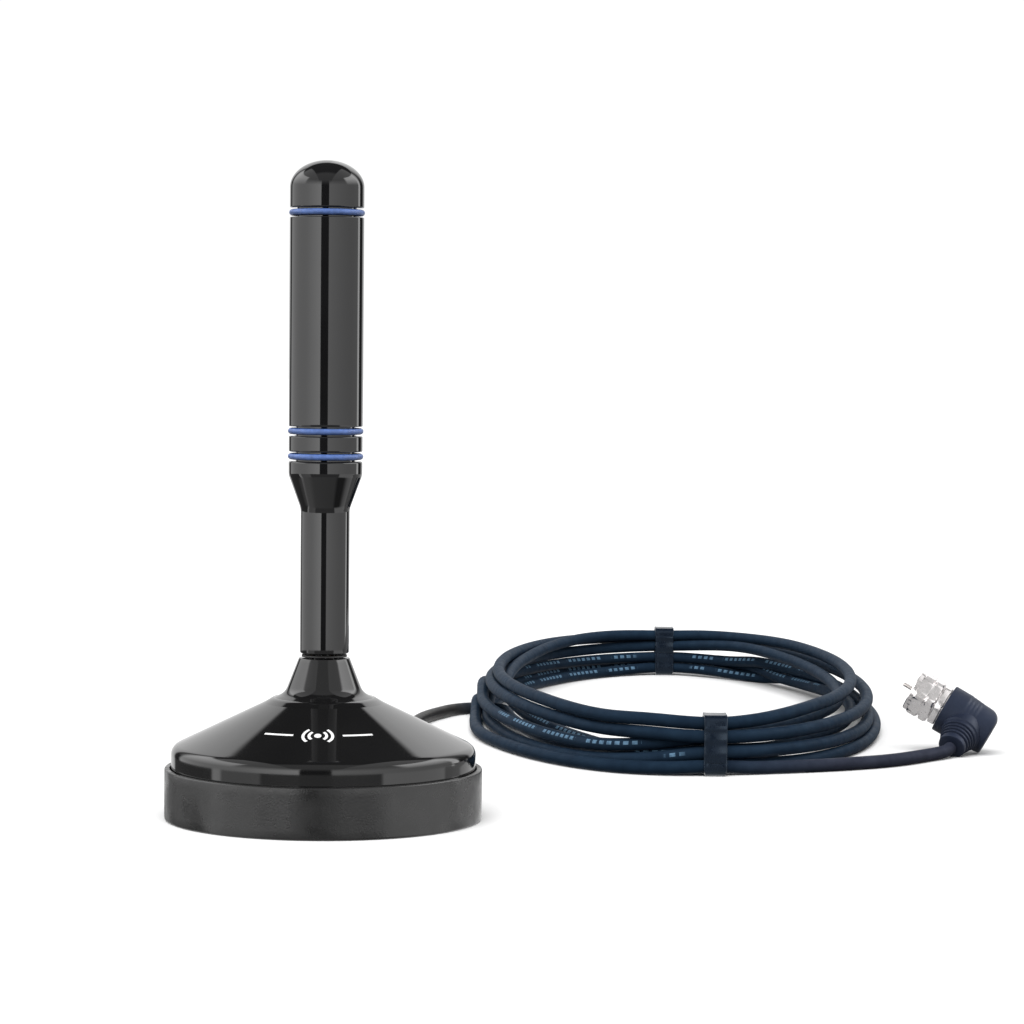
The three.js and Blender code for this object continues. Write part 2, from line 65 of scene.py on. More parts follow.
# the six tied turns, between the lead and the tail
COIL = [
    (33.42, 210.82, 1.66), (38.08, 208.38, 1.66), (40.24, 203.10, 1.67), (40.84, 197.17, 1.70), (41.15, 191.17, 1.76),
    (41.64, 185.19, 1.84), (42.32, 179.23, 1.93), (43.10, 173.28, 2.03), (43.92, 167.34, 2.14), (44.78, 161.40, 2.25),
    (45.66, 155.46, 2.36), (46.57, 149.54, 2.48), (47.52, 143.62, 2.61), (48.53, 137.71, 2.74), (49.63, 131.82, 2.88),
    (50.93, 125.97, 3.05), (52.54, 120.22, 3.28), (54.56, 114.60, 3.58), (56.98, 109.15, 3.93), (59.79, 103.90, 4.33),
    (63.02, 98.91, 4.73), (66.71, 94.27, 4.94), (70.96, 90.13, 4.76), (75.75, 86.66, 4.49), (81.07, 84.10, 4.74),
    (86.80, 82.76, 5.34), (92.67, 82.87, 5.71), (98.06, 85.12, 5.64), (102.54, 89.14, 5.39), (106.53, 93.75, 5.23),
    (110.20, 98.60, 5.20), (113.53, 103.66, 5.25), (116.51, 108.93, 5.33), (119.17, 114.35, 5.41), (121.55, 119.90, 5.47),
    (123.69, 125.53, 5.52), (125.64, 131.24, 5.55), (127.40, 136.99, 5.55), (128.99, 142.80, 5.54), (130.42, 148.64, 5.52),
    (131.71, 154.51, 5.49), (132.84, 160.41, 5.45), (133.85, 166.34, 5.41), (134.72, 172.28, 5.36), (135.46, 178.24, 5.30),
    (136.08, 184.22, 5.23), (136.58, 190.20, 5.17), (136.95, 196.19, 5.10), (137.20, 202.19, 5.02), (137.29, 208.19, 4.94),
    (137.19, 214.19, 4.84), (136.93, 220.19, 4.72), (136.55, 226.18, 4.58), (136.05, 232.15, 4.40), (135.46, 238.12, 4.20),
    (134.78, 244.08, 3.96), (134.03, 250.03, 3.71), (133.21, 255.98, 3.47), (132.26, 261.90, 3.27), (131.10, 267.80, 3.14),
    (129.66, 273.63, 3.08), (127.97, 279.40, 3.07), (126.06, 285.11, 3.15), (123.98, 290.77, 3.40), (121.85, 296.39, 3.91),
    (119.71, 302.01, 4.57), (117.31, 307.55, 4.89), (114.36, 312.84, 4.58), (110.78, 317.70, 3.95), (106.63, 322.12, 3.41),
    (102.05, 326.13, 3.14), (96.95, 329.39, 3.03), (91.17, 330.88, 2.88), (85.18, 330.37, 2.67), (79.38, 328.63, 2.51),
    (73.93, 326.03, 2.43), (68.96, 322.62, 2.40), (64.54, 318.52, 2.38), (60.66, 313.91, 2.37), (57.24, 308.95, 2.36),
    (54.22, 303.74, 2.35), (51.53, 298.36, 2.34), (49.13, 292.84, 2.33), (46.98, 287.21, 2.32), (45.07, 281.51, 2.31),
    (43.35, 275.74, 2.30), (41.81, 269.92, 2.28), (40.37, 264.07, 2.28), (38.98, 258.21, 2.28), (37.69, 252.32, 2.29),
    (36.56, 246.40, 2.38), (35.65, 240.45, 2.69), (35.10, 234.49, 3.41), (35.10, 228.53, 4.37), (35.55, 222.52, 4.89),
    (35.72, 216.47, 4.86), (35.45, 210.44, 4.50), (35.26, 204.51, 3.41), (35.20, 198.56, 2.41), (35.19, 192.56, 1.96),
    (35.33, 186.54, 1.85), (35.69, 180.53, 1.84), (36.23, 174.54, 1.83), (36.92, 168.57, 1.81), (37.74, 162.61, 1.78),
    (38.69, 156.67, 1.74), (39.78, 150.76, 1.71), (41.01, 144.88, 1.69), (42.41, 139.03, 1.67), (43.97, 133.23, 1.66),
    (45.72, 127.48, 1.66), (47.67, 121.79, 1.66), (49.85, 116.19, 1.69), (52.28, 110.69, 1.75), (55.01, 105.33, 1.84),
    (58.07, 100.16, 1.98), (61.53, 95.24, 2.18), (65.45, 90.69, 2.47), (69.89, 86.65, 2.89), (74.84, 83.30, 3.47),
    (80.27, 80.83, 4.27), (86.06, 79.45, 5.17), (92.03, 79.33, 5.69), (97.77, 80.92, 5.68), (102.86, 84.12, 5.54),
    (107.44, 88.07, 5.44), (111.66, 92.39, 5.36), (115.51, 97.04, 5.26), (118.97, 101.97, 5.15), (122.05, 107.14, 5.05),
    (124.79, 112.50, 4.98), (127.21, 118.01, 4.94), (129.37, 123.62, 4.89), (131.29, 129.32, 4.84), (132.98, 135.08, 4.81),
    (134.46, 140.91, 4.81), (135.76, 146.77, 4.83), (136.89, 152.67, 4.86), (137.87, 158.59, 4.89), (138.69, 164.54, 4.92),
    (139.38, 170.51, 4.95), (139.93, 176.48, 4.98), (140.35, 182.47, 5.00), (140.64, 188.47, 5.03), (140.80, 194.47, 5.06),
    (140.84, 200.48, 5.08), (140.77, 206.48, 5.11), (140.61, 212.48, 5.15), (140.35, 218.49, 5.21), (139.97, 224.48, 5.29),
    (139.44, 230.46, 5.38), (138.78, 236.44, 5.48), (137.97, 242.39, 5.60), (137.01, 248.33, 5.73), (135.89, 254.23, 5.88),
    (134.57, 260.10, 6.03), (133.05, 265.92, 6.16), (131.33, 271.68, 6.25), (129.44, 277.39, 6.32), (127.31, 283.02, 6.42),
    (124.85, 288.51, 6.62), (122.01, 293.81, 6.91), (118.92, 298.99, 7.04), (115.88, 304.19, 6.75), (112.81, 309.37, 6.25),
    (109.29, 314.26, 5.94), (105.20, 318.72, 5.83), (100.67, 322.75, 5.83), (95.63, 326.08, 5.83), (89.92, 327.55, 5.80),
    (84.00, 326.85, 5.70), (78.31, 324.92, 5.59), (73.02, 322.07, 5.50), (68.23, 318.44, 5.45), (63.96, 314.21, 5.43),
    (60.18, 309.53, 5.44), (56.82, 304.55, 5.46), (53.80, 299.35, 5.49), (51.08, 293.99, 5.54), (48.63, 288.50, 5.59),
    (46.43, 282.91, 5.64), (44.43, 277.24, 5.69), (42.65, 271.50, 5.74), (41.05, 265.70, 5.79), (39.63, 259.86, 5.82),
    (38.37, 253.98, 5.85), (37.27, 248.07, 5.91), (36.24, 242.15, 6.12), (35.22, 236.24, 6.64), (34.25, 230.34, 7.34),
    (33.64, 224.37, 7.60), (33.51, 218.36, 7.46), (33.56, 212.34, 7.41), (33.60, 206.33, 7.08), (33.62, 200.33, 6.56),
    (33.74, 194.33, 6.27), (34.01, 188.32, 6.20), (34.44, 182.33, 6.22), (35.01, 176.34, 6.24), (35.72, 170.37, 6.25),
    (36.57, 164.43, 6.24), (37.57, 158.50, 6.23), (38.72, 152.60, 6.20), (40.03, 146.73, 6.17), (41.49, 140.90, 6.12),
    (43.13, 135.12, 6.06), (44.95, 129.39, 5.99), (46.98, 123.72, 5.90), (49.24, 118.15, 5.81), (51.72, 112.66, 5.72),
    (54.40, 107.26, 5.66), (57.30, 101.98, 5.65), (60.53, 96.88, 5.73), (64.28, 92.18, 5.94), (68.73, 88.17, 6.34),
    (73.92, 85.23, 6.95), (79.60, 83.46, 7.76), (85.49, 82.49, 8.54), (91.42, 82.49, 9.03), (96.84, 84.73, 9.27),
    (101.24, 88.95, 9.46), (105.07, 93.75, 9.65), (108.55, 98.77, 9.81), (111.67, 104.00, 9.92), (114.42, 109.42, 9.98),
    (116.83, 114.98, 10.00), (119.00, 120.63, 10.00), (121.01, 126.33, 9.98), (122.90, 132.06, 9.95), (124.66, 137.83, 9.92),
    (126.25, 143.64, 9.88), (127.66, 149.49, 9.84), (128.87, 155.39, 9.81), (129.92, 161.31, 9.78), (130.82, 167.26, 9.75),
    (131.58, 173.22, 9.73), (132.20, 179.20, 9.71), (132.69, 185.19, 9.71), (133.05, 191.18, 9.71), (133.28, 197.19, 9.73),
    (133.38, 203.19, 9.76), (133.35, 209.20, 9.80), (133.20, 215.21, 9.85), (132.91, 221.21, 9.92), (132.50, 227.20, 10.00),
    (131.95, 233.18, 10.11), (131.27, 239.15, 10.22), (130.46, 245.10, 10.34), (129.50, 251.03, 10.47), (128.37, 256.93, 10.61),
    (127.06, 262.80, 10.75), (125.58, 268.63, 10.89), (123.98, 274.42, 11.03), (122.30, 280.20, 11.16), (120.54, 285.96, 11.26),
    (118.63, 291.68, 11.33), (116.48, 297.31, 11.36), (113.97, 302.80, 11.31), (111.05, 308.09, 11.16), (107.68, 313.11, 10.87),
    (103.90, 317.83, 10.46), (99.70, 322.21, 9.99), (94.94, 325.90, 9.53), (89.34, 327.63, 9.24), (83.42, 327.06, 9.12),
    (77.73, 325.16, 9.02), (72.46, 322.28, 8.92), (67.73, 318.59, 8.85), (63.57, 314.26, 8.80), (59.91, 309.49, 8.80),
    (56.68, 304.42, 8.82), (53.82, 299.13, 8.87), (51.27, 293.69, 8.93), (49.00, 288.13, 9.01), (46.96, 282.48, 9.11),
    (45.15, 276.75, 9.21), (43.53, 270.97, 9.32), (42.10, 265.13, 9.43), (40.84, 259.26, 9.54), (39.74, 253.36, 9.66),
    (38.79, 247.43, 9.78), (37.99, 241.48, 9.91), (37.32, 235.51, 10.03), (36.78, 229.53, 10.15), (36.38, 223.54, 10.27),
    (36.10, 217.54, 10.39), (35.95, 211.54, 10.51), (35.91, 205.54, 10.63), (35.99, 199.53, 10.73), (36.18, 193.53, 10.82),
    (36.49, 187.53, 10.89), (36.90, 181.54, 10.94), (37.44, 175.56, 10.99), (38.11, 169.58, 11.02), (38.91, 163.63, 11.04),
    (39.85, 157.69, 11.04), (40.93, 151.78, 11.04), (42.16, 145.90, 11.02), (43.56, 140.05, 10.98), (45.13, 134.24, 10.92),
    (46.89, 128.49, 10.85), (48.85, 122.80, 10.75), (51.02, 117.19, 10.62), (53.43, 111.67, 10.47), (56.12, 106.28, 10.29),
    (59.12, 101.05, 10.11), (62.48, 96.04, 9.96), (66.22, 91.29, 9.91), (70.40, 86.92, 9.99), (75.14, 83.18, 10.07),
    (80.55, 80.54, 9.90), (86.43, 79.18, 9.64), (92.43, 79.29, 9.51), (98.05, 81.34, 9.43), (103.01, 84.80, 9.37),
    (107.53, 88.85, 9.36), (111.66, 93.26, 9.38), (115.40, 98.01, 9.42), (118.74, 103.04, 9.46), (121.71, 108.28, 9.48),
    (124.37, 113.69, 9.49), (126.75, 119.22, 9.50), (128.88, 124.84, 9.49), (130.80, 130.55, 9.49), (132.50, 136.31, 9.48),
    (134.02, 142.13, 9.48), (135.37, 147.99, 9.49), (136.55, 153.88, 9.49), (137.58, 159.80, 9.50), (138.47, 165.74, 9.51),
    (139.21, 171.70, 9.52), (139.83, 177.68, 9.53), (140.31, 183.66, 9.55), (140.67, 189.66, 9.57), (140.91, 195.66, 9.59),
    (141.02, 201.66, 9.62), (141.02, 207.67, 9.65), (140.90, 213.67, 9.68), (140.66, 219.67, 9.72), (140.29, 225.67, 9.76),
    (139.81, 231.65, 9.80), (139.20, 237.62, 9.85), (138.45, 243.58, 9.90), (137.58, 249.52, 9.96), (136.56, 255.44, 10.01),
    (135.39, 261.33, 10.08), (134.06, 267.19, 10.14), (132.57, 273.01, 10.21), (130.89, 278.78, 10.28), (129.02, 284.49, 10.36),
    (126.93, 290.13, 10.44), (124.60, 295.67, 10.53), (122.01, 301.09, 10.62), (119.10, 306.35, 10.72), (115.83, 311.40, 10.83),
    (112.16, 316.17, 10.94), (108.04, 320.56, 11.04), (103.48, 324.48, 11.10), (98.45, 327.79, 11.08), (92.90, 329.97, 11.12),
    (86.98, 330.30, 11.35), (81.17, 328.92, 11.64), (75.73, 326.39, 11.87), (70.79, 322.98, 12.02), (66.42, 318.86, 12.13),
    (62.61, 314.21, 12.24), (59.29, 309.20, 12.34), (56.38, 303.94, 12.44), (53.83, 298.50, 12.53), (51.57, 292.92, 12.60),
    (49.56, 287.26, 12.68), (47.77, 281.52, 12.74), (46.16, 275.73, 12.80), (44.73, 269.90, 12.86), (43.48, 264.02, 12.91),
    (42.37, 258.12, 12.96), (41.41, 252.19, 13.01), (40.58, 246.24, 13.06), (39.88, 240.28, 13.11), (39.31, 234.30, 13.15),
    (38.85, 228.31, 13.20), (38.49, 222.32, 13.24), (38.25, 216.32, 13.28), (38.11, 210.32, 13.31), (38.07, 204.31, 13.36),
    (38.14, 198.31, 13.41), (38.33, 192.31, 13.48), (38.63, 186.32, 13.56), (39.04, 180.33, 13.64), (39.55, 174.35, 13.71),
    (40.19, 168.38, 13.79), (40.94, 162.43, 13.85), (41.82, 156.49, 13.92), (42.82, 150.57, 13.97), (43.97, 144.68, 14.02),
    (45.25, 138.82, 14.05), (46.69, 132.99, 14.06), (48.30, 127.21, 14.05), (50.09, 121.48, 14.00), (52.09, 115.82, 13.90),
    (54.33, 110.26, 13.77), (56.87, 104.82, 13.60), (59.75, 99.56, 13.41), (63.05, 94.57, 13.27), (66.87, 89.96, 13.25),
    (71.29, 85.94, 13.37), (76.34, 82.77, 13.39), (81.92, 80.75, 13.14), (87.81, 80.15, 12.81), (93.65, 81.10, 12.69),
    (99.09, 83.47, 12.88), (103.91, 86.95, 13.20), (108.12, 91.20, 13.55), (111.77, 95.93, 13.88), (114.96, 101.00, 14.15),
    (117.77, 106.30, 14.34), (120.26, 111.76, 14.43), (122.48, 117.34, 14.44), (124.47, 123.00, 14.41), (126.25, 128.73, 14.40),
    (127.86, 134.52, 14.39), (129.30, 140.35, 14.40), (130.59, 146.21, 14.40), (131.74, 152.10, 14.40), (132.76, 158.02, 14.40),
    (133.64, 163.96, 14.40), (134.39, 169.92, 14.40), (135.02, 175.89, 14.40), (135.54, 181.87, 14.40), (135.93, 187.86, 14.40),
    (136.21, 193.86, 14.40), (136.38, 199.86, 14.40), (136.43, 205.87, 14.40), (136.37, 211.87, 14.40), (136.19, 217.87, 14.40),
    (135.89, 223.87, 14.40), (135.48, 229.86, 14.40), (134.94, 235.85, 14.40), (134.28, 241.82, 14.40), (133.49, 247.77, 14.40),
    (132.56, 253.71, 14.40), (131.49, 259.62, 14.40), (130.26, 265.51, 14.41), (128.86, 271.35, 14.41), (127.27, 277.15, 14.40),
    (125.48, 282.90, 14.35), (123.47, 288.57, 14.27), (121.20, 294.15, 14.17), (118.64, 299.60, 14.04), (115.75, 304.89, 13.91),
    (112.47, 309.96, 13.78), (108.77, 314.74, 13.65), (104.63, 319.15, 13.47), (100.04, 323.10, 13.20), (94.91, 326.22, 12.85),
    (89.15, 327.33, 12.69), (83.30, 326.26, 12.82), (77.81, 323.89, 12.97), (72.86, 320.52, 13.04), (68.54, 316.36, 13.03),
    (64.82, 311.65, 12.96), (61.61, 306.58, 12.84), (58.81, 301.27, 12.69), (56.34, 295.80, 12.53), (54.16, 290.20, 12.35),
    (52.26, 284.51, 12.17), (50.58, 278.75, 11.97), (49.04, 272.95, 11.76), (47.59, 267.12, 11.54), (46.22, 261.28, 11.31),
    (44.96, 255.41, 11.07), (43.85, 249.52, 10.83), (42.91, 243.59, 10.58), (42.13, 237.65, 10.34), (41.49, 231.68, 10.09),
    (40.99, 225.70, 9.85), (40.61, 219.71, 9.60), (40.35, 213.72, 9.37), (40.23, 207.72, 9.13), (40.23, 201.72, 8.90),
    (40.36, 195.73, 8.66), (40.62, 189.73, 8.43), (41.01, 183.75, 8.20), (41.53, 177.77, 7.97), (42.18, 171.81, 7.74),
    (42.97, 165.86, 7.51), (43.91, 159.94, 7.27), (44.99, 154.04, 7.04), (46.23, 148.17, 6.80), (47.64, 142.35, 6.56),
    (49.23, 136.57, 6.32), (51.03, 130.85, 6.09), (53.06, 125.21, 5.86), (55.32, 119.67, 5.61), (57.85, 114.25, 5.34),
    (60.65, 108.97, 5.05), (63.73, 103.85, 4.69), (67.10, 98.93, 4.23), (70.90, 94.37, 3.59), (75.27, 90.39, 2.83),
    (80.14, 87.00, 2.25), (85.46, 84.34, 2.14), (91.20, 83.01, 2.37), (96.98, 83.85, 2.35), (102.35, 86.46, 2.11),
    (107.29, 89.89, 1.89), (111.81, 93.85, 1.74), (115.91, 98.25, 1.67), (119.57, 103.01, 1.66), (122.83, 108.06, 1.66),
    (125.73, 113.32, 1.66), (128.31, 118.75, 1.66), (130.60, 124.31, 1.66), (132.63, 129.96, 1.66), (134.42, 135.70, 1.68),
    (136.00, 141.49, 1.74), (137.39, 147.34, 1.82), (138.61, 153.22, 1.91), (139.67, 159.13, 2.00), (140.59, 165.07, 2.10),
    (141.36, 171.03, 2.20), (141.99, 177.00, 2.29), (142.49, 182.99, 2.39), (142.85, 188.98, 2.49), (143.08, 194.99, 2.59),
    (143.18, 200.99, 2.68), (143.15, 207.00, 2.75), (142.99, 213.01, 2.81), (142.71, 219.01, 2.85), (142.28, 225.01, 2.89),
    (141.71, 230.99, 2.94), (140.98, 236.96, 2.99), (140.10, 242.91, 3.05), (139.06, 248.84, 3.12), (137.86, 254.74, 3.18),
    (136.52, 260.61, 3.24), (135.07, 266.46, 3.27), (133.53, 272.29, 3.30), (131.88, 278.10, 3.30), (130.04, 283.85, 3.22),
    (127.99, 289.54, 2.96), (125.64, 295.10, 2.48), (122.74, 300.39, 1.93), (119.12, 305.24, 1.68), (114.99, 309.70, 1.73),
    (110.67, 313.99, 1.98), (106.24, 318.19, 2.25), (101.64, 322.23, 2.40), (96.70, 325.81, 2.43), (91.11, 327.49, 2.45),
    (85.32, 326.50, 2.30), (79.91, 323.95, 1.99), (74.98, 320.52, 1.76), (70.54, 316.46, 1.67), (66.60, 311.92, 1.66),
    (63.08, 307.05, 1.66), (59.89, 301.94, 1.66), (56.97, 296.68, 1.66), (54.28, 291.30, 1.66), (51.79, 285.83, 1.66),
    (49.48, 280.27, 1.66), (47.36, 274.64, 1.67), (45.41, 268.94, 1.68), (43.68, 263.18, 1.68), (42.18, 257.34, 1.66),
    (40.88, 251.46, 1.66), (39.74, 245.53, 1.66), (38.73, 239.57, 1.66), (37.78, 233.60, 1.66), (36.48, 227.68, 1.66),
    (34.62, 221.94, 1.97), (32.98, 216.26, 3.21), (32.14, 210.41, 4.17), (31.90, 204.46, 3.42), (31.84, 198.51, 2.34),
    (31.82, 192.50, 1.80), (31.81, 186.47, 1.66), (31.82, 180.44, 1.67), (31.89, 174.42, 1.69), (32.05, 168.40, 1.70),
    (32.36, 162.39, 1.70), (32.87, 156.40, 1.69), (33.65, 150.44, 1.68), (34.74, 144.53, 1.67), (36.12, 138.69, 1.66),
    (37.76, 132.91, 1.66), (39.59, 127.18, 1.66), (41.60, 121.52, 1.66), (43.80, 115.94, 1.66), (46.24, 110.45, 1.66),
    (48.95, 105.09, 1.66), (51.94, 99.88, 1.66), (55.26, 94.88, 1.66), (58.98, 90.18, 1.66), (63.19, 85.91, 1.66),
    (67.96, 82.31, 1.69), (73.30, 79.67, 1.77), (79.08, 78.24, 1.89), (85.05, 77.99, 2.10), (90.99, 78.72, 2.35),
    (96.80, 80.14, 2.08), (102.56, 81.78, 1.71),
]


# ------------------------------------------------------------------ materials
def nodes_of(name):
    m = bpy.data.materials.new(name)
    m.use_nodes = True
    nt = m.node_tree
    return m, nt, nt.nodes["Principled BSDF"]


def link(nt, a, b):
    nt.links.new(a, b)


def noise(nt, scale, detail=3.0, rough=0.55, coords="Object", stretch=None):
    tc = nt.nodes.new("ShaderNodeTexCoord")
    out = tc.outputs[coords]
    if stretch:
        mp = nt.nodes.new("ShaderNodeMapping")
        mp.inputs["Scale"].default_value = stretch
        link(nt, out, mp.inputs["Vector"])
        out = mp.outputs["Vector"]
    n = nt.nodes.new("ShaderNodeTexNoise")
    n.inputs["Scale"].default_value = scale
    n.inputs["Detail"].default_value = detail
    n.inputs["Roughness"].default_value = rough
    link(nt, out, n.inputs["Vector"])
    return n.outputs["Fac"]


def ramp(nt, fac, stops):
    r = nt.nodes.new("ShaderNodeValToRGB")
    e = r.color_ramp.elements
    while len(e) < len(stops):
        e.new(0.5)
    for el, (p, c) in zip(e, stops):
        el.position = p
        el.color = (*c, 1) if len(c) == 3 else c
    link(nt, fac, r.inputs["Fac"])
    return r.outputs["Color"]


def span(nt, fac, lo, hi, a=0.35, b=0.65):
    m = nt.nodes.new("ShaderNodeMapRange")
    m.inputs["From Min"].default_value = a
    m.inputs["From Max"].default_value = b
    m.inputs["To Min"].default_value = lo
    m.inputs["To Max"].default_value = hi
    link(nt, fac, m.inputs["Value"])
    return m.outputs["Result"]


def math_node(nt, op, a, b=None, c=None):
    m = nt.nodes.new("ShaderNodeMath")
    m.operation = op
    for i, v in enumerate((a, b, c)):
        if v is None:
            continue
        if isinstance(v, (int, float)):
            m.inputs[i].default_value = v
        else:
            link(nt, v, m.inputs[i])
    return m.outputs[0]


def plain(name, colour, rough, metal=0.0, vary=0.12, rough_vary=0.04, scale=90.0, bump=0.0, bump_scale=900.0,
          spec=0.5, coat=0.0, coat_rough=0.03, stretch=None, tint=None):
    m, nt, p = nodes_of(name)
    c = np.array(colour)
    f = noise(nt, scale, stretch=stretch)
    link(nt, ramp(nt, f, [(0.3, c * (1 - vary)), (0.7, np.minimum(c * (1 + vary), 1))]), p.inputs["Base Color"])
    g = noise(nt, scale * 2.3, 4.0, stretch=stretch)
    link(nt, span(nt, g, max(rough - rough_vary, 0.01), rough + rough_vary), p.inputs["Roughness"])
    p.inputs["Metallic"].default_value = metal
    p.inputs["Specular IOR Level"].default_value = spec
    if tint:
        p.inputs["Specular Tint"].default_value = (*tint, 1)
    if coat:
        p.inputs["Coat Weight"].default_value = coat
        p.inputs["Coat Roughness"].default_value = coat_rough
    if bump:
        b = nt.nodes.new("ShaderNodeBump")
        b.inputs["Strength"].default_value = bump
        b.inputs["Distance"].default_value = 0.0001
        link(nt, noise(nt, bump_scale, 2.0), b.inputs["Height"])
        link(nt, b.outputs["Normal"], p.inputs["Normal"])
    return m


GLOSS = plain("gloss_black_plastic", (0.0075, 0.0075, 0.0080), 0.045, vary=0.25, rough_vary=0.012, scale=40)
SHELL = plain("shell_black_plastic", (0.0070, 0.0070, 0.0073), 0.06, vary=0.25, rough_vary=0.015, scale=30)
BOOT = plain("boot_rubber", (0.0110, 0.0110, 0.0112), 0.30, vary=0.34, rough_vary=0.10, scale=60, bump=0.30, bump_scale=2600)
BLUE = plain("blue_trim", (0.082, 0.150, 0.385), 0.42, vary=0.22, rough_vary=0.06, scale=900)
WASHER = plain("washer_rubber", (0.010, 0.010, 0.010), 0.55, scale=200)
GLANDM = plain("gland_rubber", (0.014, 0.014, 0.015), 0.45, scale=200, bump=0.1)
TIE = plain("tie_plastic", (0.0050, 0.0090, 0.0175), 0.26, vary=0.22, rough_vary=0.07, scale=130, bump=0.08, bump_scale=260, tint=(0.62, 0.80, 1.0))
MOULD = plain("plug_moulding", (0.0125, 0.0170, 0.0330), 0.52, vary=0.16, rough_vary=0.05, scale=160, bump=0.30, bump_scale=2600, spec=0.40, tint=(0.72, 0.82, 1.0))
NICKEL = plain("nickel_plate", (0.96, 0.925, 0.92), 0.24, metal=1.0, vary=0.05, rough_vary=0.05, scale=420)
PINM = plain("pin_tinned_copper", (0.84, 0.79, 0.76), 0.38, metal=1.0, vary=0.06, scale=600)
STEEL = plain("plate_steel", (0.42, 0.42, 0.41), 0.36, metal=1.0, vary=0.12, scale=200)
ZINC = plain("zinc_plate", (0.56, 0.57, 0.56), 0.33, metal=1.0, vary=0.10, scale=350)
BRASS = plain("brass", (0.60, 0.42, 0.17), 0.30, metal=1.0, vary=0.08, scale=350)
COPPER = plain("copper_wire", (0.62, 0.28, 0.13), 0.30, metal=1.0, vary=0.08, scale=500)
FERRITE = plain("ferrite", (0.028, 0.027, 0.025), 0.62, vary=0.25, scale=400, bump=0.2)
BOARD = plain("circuit_board", (0.012, 0.085, 0.035), 0.42, vary=0.15, scale=300)
NATURAL = plain("natural_plastic", (0.66, 0.63, 0.55), 0.45, vary=0.05, scale=150)
WHITE = plain("white_plastic", (0.78, 0.76, 0.70), 0.38, vary=0.04, scale=300)
PRINT = plain("white_print", (0.84, 0.84, 0.84), 0.45, vary=0.03, scale=500)


def cable_material():
    """Matt jacket: navy black in the coil, greyer at its two ends, with pale length marks along one side."""
    m, nt, p = nodes_of("cable_jacket")
    at = nt.nodes.new("ShaderNodeAttribute")
    at.attribute_name = "zone"          # 0 lead, 1 coil, 2 tail
    zone = at.outputs["Fac"]
    z = math_node(nt, "MULTIPLY", zone, 0.5)
    base = ramp(nt, z, [(0.0, (0.0440, 0.0430, 0.0430)), (0.42, (0.0115, 0.0235, 0.0425)), (0.58, (0.0115, 0.0235, 0.0425)), (1.0, (0.0290, 0.0330, 0.0500))])
    f = noise(nt, 260, 4.0)
    tint = ramp(nt, f, [(0.3, (0.80, 0.80, 0.82)), (0.7, (1.18, 1.18, 1.16))])
    mix = nt.nodes.new("ShaderNodeMix"); mix.data_type = "RGBA"; mix.blend_type = "MULTIPLY"
    mix.inputs["Factor"].default_value = 1.0
    link(nt, base, mix.inputs["A"]); link(nt, tint, mix.inputs["B"])
    # marks: short dashes beside one another, in a band 1.1 mm high
    u = nt.nodes.new("ShaderNodeAttribute"); u.attribute_name = "along"
    v = nt.nodes.new("ShaderNodeAttribute"); v.attribute_name = "beside"
    k = nt.nodes.new("ShaderNodeAttribute"); k.attribute_name = "marked"
    band = math_node(nt, "LESS_THAN", math_node(nt, "ABSOLUTE", v.outputs["Fac"]), 0.48)
    cell = math_node(nt, "FRACT", math_node(nt, "DIVIDE", u.outputs["Fac"], 2.4))
    dash = math_node(nt, "LESS_THAN", cell, 0.60)
    word = math_node(nt, "LESS_THAN", math_node(nt, "FRACT", math_node(nt, "DIVIDE", u.outputs["Fac"], 21.6)), 0.78)
    on = math_node(nt, "MULTIPLY", math_node(nt, "MULTIPLY", band, dash), math_node(nt, "MULTIPLY", word, k.outputs["Fac"]))
    worn = math_node(nt, "MULTIPLY", on, span(nt, noise(nt, 900, 3.0), 0.45, 0.9))
    mark = nt.nodes.new("ShaderNodeMix"); mark.data_type = "RGBA"
    link(nt, worn, mark.inputs["Factor"]); link(nt, mix.outputs["Result"], mark.inputs["A"])
    mark.inputs["B"].default_value = (0.15, 0.27, 0.40, 1)
    link(nt, mark.outputs["Result"], p.inputs["Base Color"])
    rz = ramp(nt, z, [(0.0, (0.40, 0.40, 0.40)), (0.42, (0.56, 0.56, 0.56)), (1.0, (0.52, 0.52, 0.52))])
    bw = nt.nodes.new("ShaderNodeRGBToBW"); link(nt, rz, bw.inputs["Color"])
    link(nt, math_node(nt, "ADD", bw.outputs["Val"], span(nt, noise(nt, 500), -0.05, 0.05)), p.inputs["Roughness"])
    p.inputs["Specular IOR Level"].default_value = 0.04
    link(nt, ramp(nt, z, [(0.0, (1.0, 1.0, 1.0)), (0.42, (0.42, 0.70, 1.0)), (0.58, (0.42, 0.70, 1.0)), (1.0, (0.74, 0.82, 1.0))]), p.inputs["Specular Tint"])
    b = nt.nodes.new("ShaderNodeBump"); b.inputs["Strength"].default_value = 0.12; b.inputs["Distance"].default_value = 0.00008
    link(nt, noise(nt, 2200, 2.0), b.inputs["Height"]); link(nt, b.outputs["Normal"], p.inputs["Normal"])
    return m


CABLE = cable_material()


